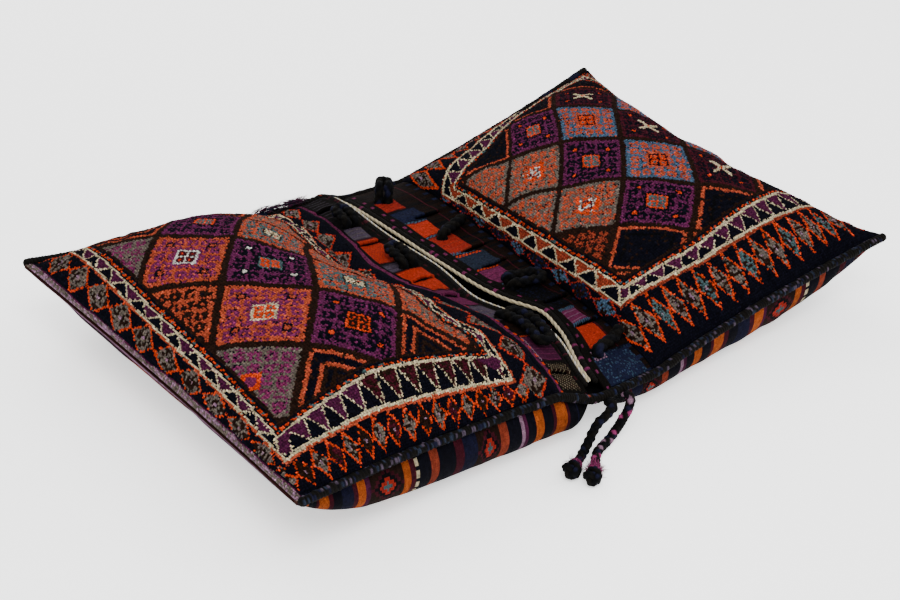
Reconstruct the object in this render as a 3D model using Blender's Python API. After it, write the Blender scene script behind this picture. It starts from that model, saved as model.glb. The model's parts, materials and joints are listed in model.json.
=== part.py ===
"""Kilim saddle bag (khorjin): two woven pouches joined by a bridge, lying plump on a flat floor.

Metres, +Z up. X runs from the left pouch to the right one, Y from the near side seam to the far one.
The origin is on the floor under the middle of the bag.
"""

import math
from dataclasses import dataclass

import bmesh
import bpy
import numpy as np
from mathutils import Matrix, Vector

# Overall size of the bag as it lies.
LENGTH = 1.000
WIDTH = 0.620

# Thickness of the cloth and of what is sewn along its edges.
PILE_WALL = 0.007
FLAT_WALL = 0.005
SIDE_BINDING = 0.011
MOUTH_ROLL = 0.008
CREAM_CORD = 0.005
WHITE_CORD = 0.0028
CLEARANCE = 0.0003
MOUTH_SEAT = 0.0009

# How the cloth stands.
MOUTH_RISE = 0.024
FLOOR_SPREAD = 1.6
GATHER_DEPTH = 0.006
GATHER_FOLDS = 7

# Slits of the closure panels, and the braids that come up through them.
SLIT_WIDTH = 0.003
LOOP_STRAND = 0.013
LOOP_BRAID = 0.015
LOOP_PLAY = 0.0005
SLIT_ROOM = 0.0009
SLIT_ANGLE = 0.1
OVAL = 1.15
CUTTER_DEPTH = 0.030
CUTTER_SIDES = 16

# Tassel cords at the near end of the bridge.
TASSEL_CORD = 0.013
TASSEL_KNOT = 0.022
KNOT_LENGTH = 0.024
TIE_THICKNESS = 0.003
TUFT = 0.008
TUFT_SPAN = (0.86, 1.28)

# Where each side's overcasting gives way to the bridge's, and how far the mouth's trim reaches
# across the width.
BINDING_END = 1.9
ROLL_REACH = 0.955
CORD_REACH = 0.94

# How finely the curved forms are divided.
DOME_STEPS = 15
PANEL_STEPS = 4
WIDTH_STEPS = 26
BACK_STEPS = 18
TUBE_SIDES = 2
BINDING_STEPS = 22
BRAID_SPACING = 0.006
TASSEL_SPACING = 0.009
HAIRPIN_STEPS = 7
TUFT_STEPS = 9
KNOT_SEGMENTS = (12, 8)
TIE_SEGMENTS = (14, 6)

SIDE_EDGE = WIDTH / 2 - SIDE_BINDING - CLEARANCE


@dataclass(frozen=True)
class Pouch:
    """One pouch. Pairs hold the value at the near side seam and at the far one.

    joint_x and mouth_line give where the pile ends and where the mouth cord runs along X, and brow gives
    how far along the pile the crown reaches, each for places across the width. fall is how steeply the
    crown drops to the mouth.
    """

    name: str
    side: int
    fold_height: tuple
    joint_x: tuple
    joint_height: tuple
    lip_height: tuple
    mouth_line: tuple
    cord: float
    crown: float
    crown_power: tuple
    brow: tuple
    fall: tuple
    fold_sag: float
    fold_pull_in: float
    side_pull_in: float
    belly: float
    gathers: float


LEFT = Pouch(
    name="left",
    side=-1,
    fold_height=(0.0956, 0.1075),
    joint_x=((-1.0, -0.112), (-0.8, -0.098), (-0.6, -0.087), (-0.4, -0.085), (-0.2, -0.093), (0.0, -0.110),
             (0.2, -0.118), (0.4, -0.104), (0.6, -0.090), (1.0, -0.075)),
    joint_height=(0.080, 0.056),
    lip_height=(0.054, 0.058),
    mouth_line=((-1.04, -0.049), (-0.90, -0.0425), (-0.57, -0.014), (-0.22, -0.042), (0.08, -0.032),
                (0.45, -0.034), (0.85, -0.020), (1.04, -0.014)),
    cord=WHITE_CORD,
    crown=0.102,
    crown_power=(2.04, 3.15),
    brow=((-1.0, 1.0), (-0.6, 0.97), (-0.2, 0.95), (0.2, 0.93), (1.0, 0.93)),
    fall=(0.75, 1.10),
    fold_sag=0.010,
    fold_pull_in=0.012,
    side_pull_in=0.008,
    belly=0.016,
    gathers=1.0,
)

RIGHT = Pouch(
    name="right",
    side=1,
    fold_height=(0.106, 0.132),
    joint_x=((-1.0, 0.053), (1.0, 0.123)),
    joint_height=(0.050, 0.039),
    lip_height=(0.051, 0.044),
    mouth_line=((-1.04, -0.043), (-0.90, -0.036), (-0.60, 0.002), (-0.44, 0.012), (-0.26, -0.006),
                (0.15, -0.013), (0.45, -0.011), (0.77, -0.006), (1.04, 0.002)),
    cord=CREAM_CORD,
    crown=0.101,
    crown_power=(2.17, 2.57),
    brow=((-1.0, 1.0), (1.0, 1.0)),
    fall=(0.50, 0.50),
    fold_sag=0.030,
    fold_pull_in=0.042,
    side_pull_in=0.008,
    belly=0.006,
    gathers=0.35,
)


def through(points, at):
    """A smooth curve through hand-set (position, value) points, read at the given positions."""
    where, values = np.array(points, float).T
    slope = np.gradient(values, where)
    at = np.clip(np.asarray(at, float), where[0], where[-1])
    i = np.clip(np.searchsorted(where, at, side="right") - 1, 0, len(where) - 2)
    span = where[i + 1] - where[i]
    t = (at - where[i]) / span
    return (
        (2 * t**3 - 3 * t**2 + 1) * values[i]
        + (t**3 - 2 * t**2 + t) * span * slope[i]
        + (3 * t**2 - 2 * t**3) * values[i + 1]
        + (t**3 - t**2) * span * slope[i + 1]
    )


def between(pair, across):
    """The value at this place across the width, -1 at the near seam and 1 at the far one."""
    return pair[0] + (pair[1] - pair[0]) * (across + 1) / 2


def smoothstep(low, high, value):
    t = np.clip((value - low) / (high - low), 0, 1)
    return t * t * (3 - 2 * t)


def lip_x(pouch, across):
    """Where the closure panel's free edge runs, behind its cord and its wrapped roll."""
    behind = pouch.cord / 2 + MOUTH_ROLL + MOUTH_SEAT + CLEARANCE
    return through(pouch.mouth_line, across) + pouch.side * behind


def plan(pouch, along, across, inset=0.0):
    """X and Y of the cloth. along is 0 at the fold, 1 where the pile ends and 2 at the free edge."""
    on_pile = np.clip(along, 0, 1)
    on_panel = np.clip(along - 1, 0, 1)
    y = across * (SIDE_EDGE - inset - pouch.side_pull_in * 4 * on_pile * (1 - on_pile))
    across = y / SIDE_EDGE
    fold = pouch.side * (LENGTH / 2 - CLEARANCE - pouch.fold_pull_in * (1 - across**2) - inset)
    joint = through(pouch.joint_x, across)
    x = fold + (joint - fold) * on_pile + (lip_x(pouch, across) - joint) * on_panel
    return x, y


def seam_height(pouch, along, across):
    """The height of the side seams, and of the line between them inside the bag, which sags at the fold."""
    fold = between(pouch.fold_height, across) - pouch.fold_sag * (1 - across**2)
    joint = between(pouch.joint_height, across)
    lip = between(pouch.lip_height, across)
    return fold + (joint - fold) * np.clip(along, 0, 1) + (lip - joint) * np.clip(along - 1, 0, 1)


def upper(pouch, along, across, inner=False):
    """The pile face, which domes up from its seams, and the closure panel that goes on to the free edge."""
    wall = PILE_WALL + (FLAT_WALL - PILE_WALL) * smoothstep(0.9, 1.1, along)
    x, y = plan(pouch, along, across, PILE_WALL if inner else 0.0)
    on_pile = np.clip(along, 0, 1)
    power_x, power_y = pouch.crown_power
    to_fold = np.clip(1 - 2 * on_pile, 0, 1)
    to_mouth = np.clip((on_pile - 0.5) / (through(pouch.brow, y / SIDE_EDGE) - 0.5), 0, 1)
    fall = between(pouch.fall, y / SIDE_EDGE)
    profile = np.sqrt(1 - to_fold**power_x) * (1 - to_mouth**power_x) ** fall
    dome = profile * (1 - np.abs(across) ** power_y) ** 0.75
    rise = smoothstep(0.75, 1.0, along) * np.sqrt(1 - across**4)
    fold_wave = 0.5 - 0.5 * np.cos(2 * math.pi * GATHER_FOLDS * (across + 1) / 2)
    near_mouth = smoothstep(0.55, 0.95, along) * (1 - smoothstep(1.0, 1.5, along))
    z = seam_height(pouch, along, y / SIDE_EDGE) + pouch.crown * dome + MOUTH_RISE * rise
    z = z - pouch.gathers * GATHER_DEPTH * fold_wave * near_mouth * np.maximum(dome, 0.4 * rise)
    if inner:
        z = z - wall * (1 - (1 - dome) * (1 - rise))
    return np.stack([x, y, z], -1)


def underside(pouch, along, across, inner=False):
    """The flat-woven back, which sags from its seams to the floor and rises again to the bridge."""
    x, y = plan(pouch, along, across, FLAT_WALL if inner else 0.0)
    seam = seam_height(pouch, along, y / SIDE_EDGE) - CLEARANCE
    to_fold = np.clip(1 - along, 0, 1)
    lengthwise = (1 - to_fold**3) ** 0.8 * (1 - smoothstep(1.4, 2.15, along))
    crosswise = np.sqrt(1 - np.abs(across) ** 5)
    sag = np.minimum(FLOOR_SPREAD * lengthwise * crosswise, 1.0)
    z = seam - (seam - FLAT_WALL) * sag
    if not inner:
        z = z - FLAT_WALL
        y = y + np.sign(across) * pouch.belly * 4 * sag * (1 - sag)
    return np.stack([x, y, z], -1)


def linked(name, mesh):
    obj = bpy.data.objects.new(name, mesh)
    BAG.objects.link(obj)
    return obj


def dressed(obj, colour, roughness=0.9):
    """Gives the object its own cloth material."""
    material = bpy.data.materials.new(obj.name)
    material.use_nodes = True
    shader = material.node_tree.nodes["Principled BSDF"]
    shader.inputs["Base Color"].default_value = (*colour, 1)
    shader.inputs["Roughness"].default_value = roughness
    shader.inputs["Metallic"].default_value = 0
    obj.data.materials.clear()
    obj.data.materials.append(material)
    return obj


def rim_of(grid):
    """The grid's border points, once round."""
    return np.concatenate([grid[0, :-1], grid[:-1, -1], grid[-1, :0:-1], grid[:0:-1, 0]])


def sheet(name, outer, inner, rim=None):
    """A closed solid from a cloth's two sides, which are grids of points with the same number of rows.

    The two sides are unlike lofted surfaces, so their faces are made here. rim is a ring of points between
    them, where the edge of the cloth turns square.
    """
    rows, columns = outer.shape[:2]
    rings = [rim_of(outer)] + ([rim] if rim is not None else []) + [rim_of(inner)]
    points = [outer.reshape(-1, 3), inner.reshape(-1, 3)]
    points = np.concatenate(points + ([rim] if rim is not None else []))
    index = np.arange(rows * columns).reshape(rows, columns)
    ring_index = [rim_of(index[..., None])[:, 0]]
    if rim is not None:
        ring_index.append(2 * rows * columns + np.arange(len(rim)))
    ring_index.append(rim_of(index[..., None])[:, 0] + rows * columns)
    faces = []
    for i in range(rows - 1):
        for j in range(columns - 1):
            a, b, c, d = index[i, j], index[i + 1, j], index[i + 1, j + 1], index[i, j + 1]
            faces.append((a, b, c, d))
            faces.append(tuple(k + rows * columns for k in (d, c, b, a)))
    for first, second in zip(ring_index, ring_index[1:]):
        for k in range(len(rings[0])):
            after = (k + 1) % len(rings[0])
            faces.append((first[k], first[after], second[after], second[k]))
    mesh = bpy.data.meshes.new(name)
    mesh.from_pydata([tuple(p) for p in points], [], [tuple(int(k) for k in f) for f in faces])
    work = bmesh.new()
    work.from_mesh(mesh)
    bmesh.ops.recalc_face_normals(work, faces=work.faces)
    if work.calc_volume(signed=True) < 0:
        bmesh.ops.reverse_faces(work, faces=work.faces)
    work.to_mesh(mesh)
    work.free()
    mesh.shade_smooth()
    mesh.set_sharp_from_angle(angle=math.radians(50))
    return linked(name, mesh)


def spread(steps):
    """Places from 0 to 1, closer together at both ends, where the cloth turns most."""
    return (1 - np.cos(np.linspace(0, math.pi, steps + 1))) / 2


def smooth_route(points, spacing):
    """Points about this far apart on a smooth curve through the route's own points."""
    points = np.array(points, float)
    run = np.concatenate([[0], np.cumsum(np.linalg.norm(np.diff(points, axis=0), axis=1))])
    count = max(int(round(run[-1] / spacing)), 4)
    at = np.linspace(0, run[-1], count + 1)
    return np.stack([through(np.stack([run, points[:, k]], 1), at) for k in range(3)], -1)


def tube(name, points, diameter, sides=TUBE_SIDES):
    """A round cord along the points, closed at both ends."""
    curve = bpy.data.curves.new(name, "CURVE")
    curve.dimensions = "3D"
    curve.bevel_depth = diameter / 2
    curve.bevel_resolution = sides
    curve.use_fill_caps = True
    spline = curve.splines.new("POLY")
    spline.points.add(len(points) - 1)
    for point, place in zip(spline.points, points):
        point.co = (*place, 1)
    return linked(name, curve)


def make_face(pouch, colour):
    """The pile face with its closure panel, slit where the loops come through."""
    along = np.concatenate([spread(DOME_STEPS), 1 + np.arange(1, PANEL_STEPS + 1) / PANEL_STEPS])
    across = 2 * spread(WIDTH_STEPS) - 1
    grid = np.meshgrid(along, across, indexing="ij")
    face = sheet(f"{pouch.name}_face", upper(pouch, *grid), upper(pouch, *grid, inner=True))
    return dressed(face, colour)


def make_back(colour):
    """The back of both pouches and the bridge between them, one flat-woven length."""
    along = np.concatenate([spread(DOME_STEPS), 1 + np.arange(1, PANEL_STEPS + 1) / PANEL_STEPS])
    across = 2 * spread(BACK_STEPS) - 1
    grid = np.meshgrid(along, across, indexing="ij")
    sides = {}
    for inner in (False, True):
        left = underside(LEFT, *grid, inner=inner)
        right = underside(RIGHT, *grid, inner=inner)
        sides[inner] = np.concatenate([left, right[::-1]])
    rim = rim_of(sides[False]).copy()
    rim[:, 2] = rim_of(sides[True])[:, 2]
    return dressed(sheet("back_and_bridge", sides[False], sides[True], rim), colour)


def seam_points(pouch, near_side, low, high, count):
    """The centre line of the overcasting that closes a side seam."""
    along = np.linspace(low, high, count)
    across = np.full_like(along, near_side)
    x, y = plan(pouch, along, across)
    z = seam_height(pouch, along, across)
    return np.stack([x, y + near_side * (SIDE_BINDING / 2 + CLEARANCE), z], -1)


def make_side_bindings(colour):
    """Goat-hair overcasting along each side seam and round each end of the bridge."""
    for pouch in (LEFT, RIGHT):
        for word, near_side in (("near", -1), ("far", 1)):
            points = seam_points(pouch, near_side, 0.0, BINDING_END, BINDING_STEPS)
            dressed(tube(f"{pouch.name}_binding_{word}", points, SIDE_BINDING), colour)
    for word, near_side in (("near", -1), ("far", 1)):
        left = seam_points(LEFT, near_side, BINDING_END, 2.0, 3)
        right = seam_points(RIGHT, near_side, 2.0, BINDING_END, 3)
        gap = np.array([CLEARANCE, 0, 0])
        points = np.concatenate([left[:1] + gap, left[1:-1], right[1:-1], right[-1:] - gap])
        dressed(tube(f"bridge_binding_{word}", points, SIDE_BINDING), colour)


def lip_points(pouch, offset, reach):
    """A line beside the closure panel's free edge, this far out over the bridge, bending as the edge does."""
    across = 2 * spread(WIDTH_STEPS) - 1
    across = np.concatenate([[-reach], across[np.abs(across) < reach - 0.01], [reach]])
    along = np.full_like(across, 2.0)
    line = upper(pouch, along, across)
    line[:, 2] -= FLAT_WALL / 2
    slope = np.gradient(line[:, 0], line[:, 1])
    turn = 1 / np.hypot(slope, 1)
    line[:, 0] -= pouch.side * offset * turn
    line[:, 1] += pouch.side * offset * slope * turn
    return line


def make_mouth(pouch, cord_name, roll_colour, cord_colour):
    """The wrapped roll on the mouth's edge and the cotton cord that lies along it."""
    roll_at = MOUTH_ROLL / 2 + MOUTH_SEAT
    cord_at = MOUTH_ROLL + pouch.cord / 2 + MOUTH_SEAT + CLEARANCE
    roll_line = lip_points(pouch, roll_at, ROLL_REACH)
    cord_line = lip_points(pouch, cord_at, CORD_REACH)
    dressed(tube(f"{pouch.name}_mouth_roll", roll_line, MOUTH_ROLL), roll_colour)
    dressed(tube(cord_name, cord_line, pouch.cord, 1), cord_colour)


@dataclass(frozen=True)
class Loop:
    """A braid that comes up through a slit. route holds (along, across) places, from the slit on."""

    name: str
    pouch: Pouch
    route: tuple
    spread: float = 0.0
    lift: float = 0.0


LOOPS = (
    Loop("left_loop_far", LEFT, ((1.52, 0.59), (1.52, 0.64), (1.52, 0.69)), 0.016, 0.006),
    Loop("left_loop_middle", LEFT, ((1.58, 0.13), (1.60, 0.18), (1.64, 0.25)), 0.016, 0.006),
    Loop("left_loop_near", LEFT, ((1.54, -0.45), (1.58, -0.53), (1.60, -0.62), (1.58, -0.70)), 0.018, 0.006),
    Loop("right_loop_upright", RIGHT, ((1.72, 0.78), (1.68, 0.80), (1.60, 0.84)), 0.014, 0.018),
    Loop("right_loop_far", RIGHT, ((1.69, 0.31), (1.50, 0.34), (1.29, 0.37), (1.10, 0.40))),
    Loop("right_loop_middle", RIGHT, ((1.74, -0.19), (1.60, -0.21), (1.44, -0.22), (1.29, -0.23)), 0.02, 0.002),
    Loop("right_loop_near", RIGHT, ((1.73, -0.83), (1.51, -0.81), (1.28, -0.80), (1.07, -0.78))),
)


def place_on(pouch, place):
    """The point of the face or panel at this (along, across) place."""
    return upper(pouch, np.float64(place[0]), np.float64(place[1]))


def highest_near(pouch, place, reach, back=False):
    """The highest point of the face, or of the back inside the bag, within this reach of a place."""
    panel = abs(lip_x(pouch, place[1]) - through(pouch.joint_x, place[1]))
    along = place[0] + np.array([-reach, 0, reach]) / panel
    across = place[1] + np.array([-reach, 0, reach]) / SIDE_EDGE
    if back:
        rows = along[[0, 2]] * PANEL_STEPS
        along = np.array([math.floor(rows[0]), math.ceil(rows[1])]) / PANEL_STEPS
    grid = np.meshgrid(along, across)
    cloth = underside(pouch, *grid, inner=True) if back else upper(pouch, *grid)
    return cloth[..., 2].max()


def loop_spine(loop):
    """The middle of the braid: up from the back through the slit, over, and along the panel."""
    radius = (LOOP_STRAND if loop.spread else LOOP_BRAID) / 2
    x, y, panel = place_on(loop.pouch, loop.route[0])
    floor = highest_near(loop.pouch, loop.route[0], radius + loop.spread / 2, back=True) + CLEARANCE
    spine = [(x, y, floor), (x, y, panel - FLAT_WALL / 2), (x, y, panel + radius)]
    for k, place in enumerate(loop.route[1:], 1):
        x, y, _ = place_on(loop.pouch, place)
        arch = loop.lift * math.sin(math.pi * k / len(loop.route))
        spine.append((x, y, highest_near(loop.pouch, place, radius) + radius + LOOP_PLAY + arch))
    return np.array(spine), radius


def loop_heading(spine):
    """The level direction in which the braid runs from its slit to its tip."""
    heading = (spine[-1] - spine[0]) * (1, 1, 0)
    return heading / np.linalg.norm(heading)


def make_loop(loop, colour):
    """A doubled braid is a hairpin whose two strands part by the spread; a single one is a thick cord."""
    spine, radius = loop_spine(loop)
    route = smooth_route(spine, BRAID_SPACING)
    if loop.spread:
        ahead = loop_heading(spine) * loop.spread / 2
        aside = np.array([-ahead[1], ahead[0], 0])
        turn = np.linspace(0, math.pi, HAIRPIN_STEPS)[1:-1, None]
        tip = route[-1] + aside * np.cos(turn) + ahead * np.sin(turn)
        route = np.concatenate([route + aside, tip, route[::-1] - aside])
    return dressed(tube(loop.name, route, 2 * radius), colour)


def oval_cutter(name, place, length, width, angle):
    """An upright oval bar that opens a slit in a closure panel."""
    bpy.ops.mesh.primitive_cylinder_add(vertices=CUTTER_SIDES, radius=0.5, depth=CUTTER_DEPTH)
    cutter = bpy.context.active_object
    cutter.name = name
    cutter.location = place
    cutter.scale = (length, width, 1)
    cutter.rotation_euler = (0, 0, angle)
    for collection in list(cutter.users_collection):
        collection.objects.unlink(cutter)
    CUTTERS.objects.link(cutter)
    cutter.hide_render = True
    cutter.display_type = "WIRE"
    return cutter


def cut_slits(pouch, face, plain_slits):
    """Opens each slit where two colours of the tapestry meet, wide where a braid comes through it."""
    cutters = []
    for loop in LOOPS:
        if loop.pouch is not pouch:
            continue
        spine, radius = loop_spine(loop)
        ahead = loop_heading(spine)
        width = 2 * (radius + SLIT_ROOM) * (OVAL if loop.spread else 1)
        length = width + loop.spread * (OVAL if loop.spread else 1)
        angle = math.atan2(ahead[0], -ahead[1])
        cutters.append(oval_cutter(f"slit_{loop.name}", spine[1], length, width, angle))
    for k, (along, across, length) in enumerate(plain_slits):
        middle = place_on(pouch, (along, across)) - (0, 0, FLAT_WALL / 2)
        cutters.append(oval_cutter(f"slit_{pouch.name}_{k}", middle, length, SLIT_WIDTH, SLIT_ANGLE))
    for cutter in cutters:
        cut = face.modifiers.new(cutter.name, "BOOLEAN")
        cut.operation = "DIFFERENCE"
        cut.object = cutter


# The plain slits: along and across the panel, and each one's length.
LEFT_SLITS = (
    (1.50, -0.88, 0.028),
    (1.50, -0.17, 0.024),
    (1.50, 0.01, 0.034),
    (1.50, 0.41, 0.034),
    (1.50, 0.82, 0.028),
)
RIGHT_SLITS = (
    (1.39, -0.62, 0.044),
    (1.46, -0.40, 0.044),
    (1.48, 0.00, 0.044),
    (1.44, 0.17, 0.044),
    (1.43, 0.55, 0.044),
)

TASSEL_ROUTES = {
    "left": (
        (-0.0360, -0.3105, 0.0460),
        (-0.0360, -0.3190, 0.0460),
        (-0.0500, -0.3235, 0.0400),
        (-0.0660, -0.3230, 0.0300),
        (-0.0800, -0.3270, 0.0170),
        (-0.0950, -0.3330, 0.0080),
        (-0.1130, -0.3430, 0.0085),
        (-0.1255, -0.3500, 0.0112),
    ),
    "right": (
        (-0.0060, -0.3105, 0.0460),
        (-0.0060, -0.3190, 0.0460),
        (-0.0130, -0.3240, 0.0330),
        (-0.0240, -0.3250, 0.0200),
        (-0.0380, -0.3270, 0.0090),
        (-0.0550, -0.3330, 0.0072),
        (-0.0790, -0.3420, 0.0072),
        (-0.1010, -0.3600, 0.0085),
        (-0.1150, -0.3720, 0.0112),
    ),
}


def make_tassel(word, route, cord_colour, tie_colour):
    """A braided cord that lies out on the floor, its knotted end, and the dyed wool tied round it."""
    points = smooth_route(route, TASSEL_SPACING)
    dressed(tube(f"tassel_cord_{word}", points, TASSEL_CORD), cord_colour)
    ahead = Vector(points[-1] - points[-2]).normalized()
    turned = ahead.to_track_quat("Z", "Y").to_matrix().to_4x4()
    knot_at = Vector(points[-1]) + ahead * (KNOT_LENGTH / 2 + CLEARANCE)
    mesh = bpy.data.meshes.new("knot")
    work = bmesh.new()
    around, up = KNOT_SEGMENTS
    bmesh.ops.create_uvsphere(work, u_segments=around, v_segments=up, radius=0.5)
    bmesh.ops.scale(work, vec=(TASSEL_KNOT, TASSEL_KNOT, KNOT_LENGTH), verts=work.verts)
    work.to_mesh(mesh)
    work.free()
    mesh.shade_smooth()
    knot = linked(f"tassel_knot_{word}", mesh)
    knot.matrix_world = Matrix.Translation(knot_at) @ turned
    dressed(knot, cord_colour)
    tie_at = Vector(points[-1]) - ahead * TIE_THICKNESS
    bpy.ops.mesh.primitive_torus_add(
        major_segments=TIE_SEGMENTS[0],
        minor_segments=TIE_SEGMENTS[1],
        major_radius=TASSEL_CORD / 2 + CLEARANCE + TIE_THICKNESS / 2,
        minor_radius=TIE_THICKNESS / 2,
    )
    tie = bpy.context.active_object
    tie.name = f"tassel_tie_{word}"
    tie.matrix_world = Matrix.Translation(tie_at) @ turned
    for collection in list(tie.users_collection):
        collection.objects.unlink(tie)
    BAG.objects.link(tie)
    dressed(tie, tie_colour)


def make_tuft(colour):
    """The frayed warp ends that lie along the left pouch's far seam."""
    points = seam_points(LEFT, 1, *TUFT_SPAN, TUFT_STEPS)
    points[:, 2] += (SIDE_BINDING + TUFT) / 2 + CLEARANCE
    return dressed(tube("far_tuft", points, TUFT, 1), colour)


NAVY = (0.010, 0.010, 0.020)
GOAT_HAIR = (0.012, 0.010, 0.009)
MADDER = (0.22, 0.05, 0.03)
PLUM = (0.10, 0.02, 0.08)
COTTON = (0.70, 0.64, 0.50)
KILIM = (0.16, 0.05, 0.04)


def main():
    left_face = make_face(LEFT, MADDER)
    right_face = make_face(RIGHT, MADDER)
    cut_slits(LEFT, left_face, LEFT_SLITS)
    cut_slits(RIGHT, right_face, RIGHT_SLITS)
    make_back(KILIM)
    make_side_bindings(GOAT_HAIR)
    make_mouth(LEFT, "white_mouth_cord", GOAT_HAIR, COTTON)
    make_mouth(RIGHT, "cream_mouth_cord", GOAT_HAIR, COTTON)
    for loop in LOOPS:
        make_loop(loop, GOAT_HAIR)
    make_tassel("left", TASSEL_ROUTES["left"], GOAT_HAIR, PLUM)
    make_tassel("right", TASSEL_ROUTES["right"], NAVY, PLUM)
    make_tuft(PLUM)


for old in list(bpy.data.objects):
    bpy.data.objects.remove(old, do_unlink=True)
BAG = bpy.data.collections.new("Kilim saddle bag")
CUTTERS = bpy.data.collections.new("Slit cutters")
bpy.context.scene.collection.children.link(BAG)
bpy.context.scene.collection.children.link(CUTTERS)
main()
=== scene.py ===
"""A kilim saddle bag (khorjin) lying plump on a pale floor.

Two pile-knotted faces with slit-tapestry closure panels, a striped flat-woven back, goat-hair overcasting,
wrapped mouth rolls with cotton cords, braided loops, two tassel cords and a frayed tuft. Metres, +Z up; X runs
from the left pouch to the right one, Y from the near side seam to the far one.
"""

import json
import logging
import math
from collections.abc import Callable
from dataclasses import dataclass
from enum import Enum

import bpy
import numpy as np
from mathutils import Matrix, Vector

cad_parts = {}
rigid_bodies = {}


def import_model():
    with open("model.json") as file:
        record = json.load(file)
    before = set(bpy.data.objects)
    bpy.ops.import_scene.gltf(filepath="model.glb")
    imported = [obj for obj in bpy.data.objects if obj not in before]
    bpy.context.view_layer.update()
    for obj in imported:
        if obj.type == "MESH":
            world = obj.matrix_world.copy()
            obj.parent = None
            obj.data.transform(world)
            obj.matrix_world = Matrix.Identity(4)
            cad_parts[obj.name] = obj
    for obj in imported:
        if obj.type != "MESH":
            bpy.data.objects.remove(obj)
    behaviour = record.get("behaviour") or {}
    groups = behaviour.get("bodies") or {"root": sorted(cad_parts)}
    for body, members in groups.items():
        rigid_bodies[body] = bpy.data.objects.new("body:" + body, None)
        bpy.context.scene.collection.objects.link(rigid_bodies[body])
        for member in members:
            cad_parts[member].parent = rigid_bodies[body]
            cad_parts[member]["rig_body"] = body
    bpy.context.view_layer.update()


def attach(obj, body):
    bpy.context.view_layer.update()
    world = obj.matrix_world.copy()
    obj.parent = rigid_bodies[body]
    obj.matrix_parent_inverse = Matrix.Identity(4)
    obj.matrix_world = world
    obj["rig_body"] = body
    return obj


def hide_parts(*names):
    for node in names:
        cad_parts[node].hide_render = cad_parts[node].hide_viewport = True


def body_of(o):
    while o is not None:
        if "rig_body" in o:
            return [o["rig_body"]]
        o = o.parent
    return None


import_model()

logging.basicConfig(level=logging.INFO, format="%(message)s")
LOG = logging.getLogger("khorjin")

Array = np.ndarray
Random = np.random.Generator
Piece = bpy.types.Object
Material = bpy.types.Material
Pair = tuple[float, float]
Line = tuple[Pair, ...]
Point = tuple[float, float, float]
Surface = Callable[[Array, Array], Array]

# Size of the bag and of what is sewn along its edges.
LENGTH = 1.000
WIDTH = 0.620
PILE_WALL = 0.005
FLAT_WALL = 0.005
SIDE_BINDING = 0.011
MOUTH_ROLL = 0.008
CREAM_CORD = 0.005
WHITE_CORD = 0.0028
CLEARANCE = 0.0003
MOUTH_SEAT = 0.0009
SIDE_EDGE = WIDTH / 2 - SIDE_BINDING - CLEARANCE
# How far the overcasting takes in the cloth's edge.
SEAM_BITE = 0.0012

# How the cloth rises at the mouth, spreads on the floor and folds where it is gathered.
MOUTH_RISE = 0.024
FLOOR_SPREAD = 1.6
GATHER_DEPTH = 0.006
GATHER_FOLDS = 7

# A pile knot, the steps of the tables that even spacing is read from, and fine steps to one of the lining's.
KNOT = 0.0036
TABLE_STEPS = 900
LINING_STEP = 4

# Wool takes up more light than its swatch, between its fibres.
DYE_DEPTH = 0.36


def linear(code: str) -> Array:
    """The linear colour of an sRGB hex code.

    Args:
        code: six hex digits.

    Returns:
        Three linear values from 0 to 1.
    """
    value = np.array([int(code[k : k + 2], 16) for k in (0, 2, 4)]) / 255
    return np.where(value <= 0.04045, value / 12.92, ((value + 0.055) / 1.055) ** 2.4)


class Dye(Enum):
    """Dyed wool, goat hair and cotton."""

    NAVY = "0d0d18"
    INDIGO = "1f2440"
    DENIM = "2b3345"
    BROWN = "281811"
    MAROON = "4a1522"
    PLUM = "521c3e"
    MAGENTA = "7d2c58"
    ORANGE = "e5461c"
    SALMON = "c25236"
    RUST = "9c3f2a"
    RED = "b53024"
    SCARLET = "d03a22"
    AMBER = "c05a20"
    CREAM = "dfcda6"
    WHITE = "eeeae0"
    TAUPE = "71655c"
    TEAL = "4d6668"
    STEEL = "4a6580"
    VIOLET = "5b4e60"
    MAUVE = "a07a92"
    PINK = "b4457f"
    GRAPE = "6a2652"
    GOAT = "120f0c"
    COAL = "0a0a0e"
    INK = "191a33"

    @property
    def rgb(self) -> Array:
        """The dye's linear colour on wool."""
        return linear(self.value) * DYE_DEPTH


def dyes_of(names: str) -> tuple[Dye, ...]:
    """The dyes of some names with spaces between them."""
    return tuple(Dye[name] for name in names.split())


def palette_of(dyes: tuple[Dye, ...]) -> Array:
    """The colours of some dyes, one in a row."""
    return np.array([dye.rgb for dye in dyes])


def node(tree: bpy.types.NodeTree, kind: str, settings: dict[str, object]) -> bpy.types.Node:
    """Adds one node to a material.

    Args:
        tree: the material's nodes.
        kind: the type of the node.
        settings: its inputs and properties by name. A socket given for an input is linked to it.

    Returns:
        The node.
    """
    made = tree.nodes.new(kind)
    for key, value in settings.items():
        if key not in made.inputs:
            setattr(made, key, value)
        elif isinstance(value, bpy.types.NodeSocket):
            tree.links.new(value, made.inputs[key])
        else:
            made.inputs[key].default_value = value
    return made


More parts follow.
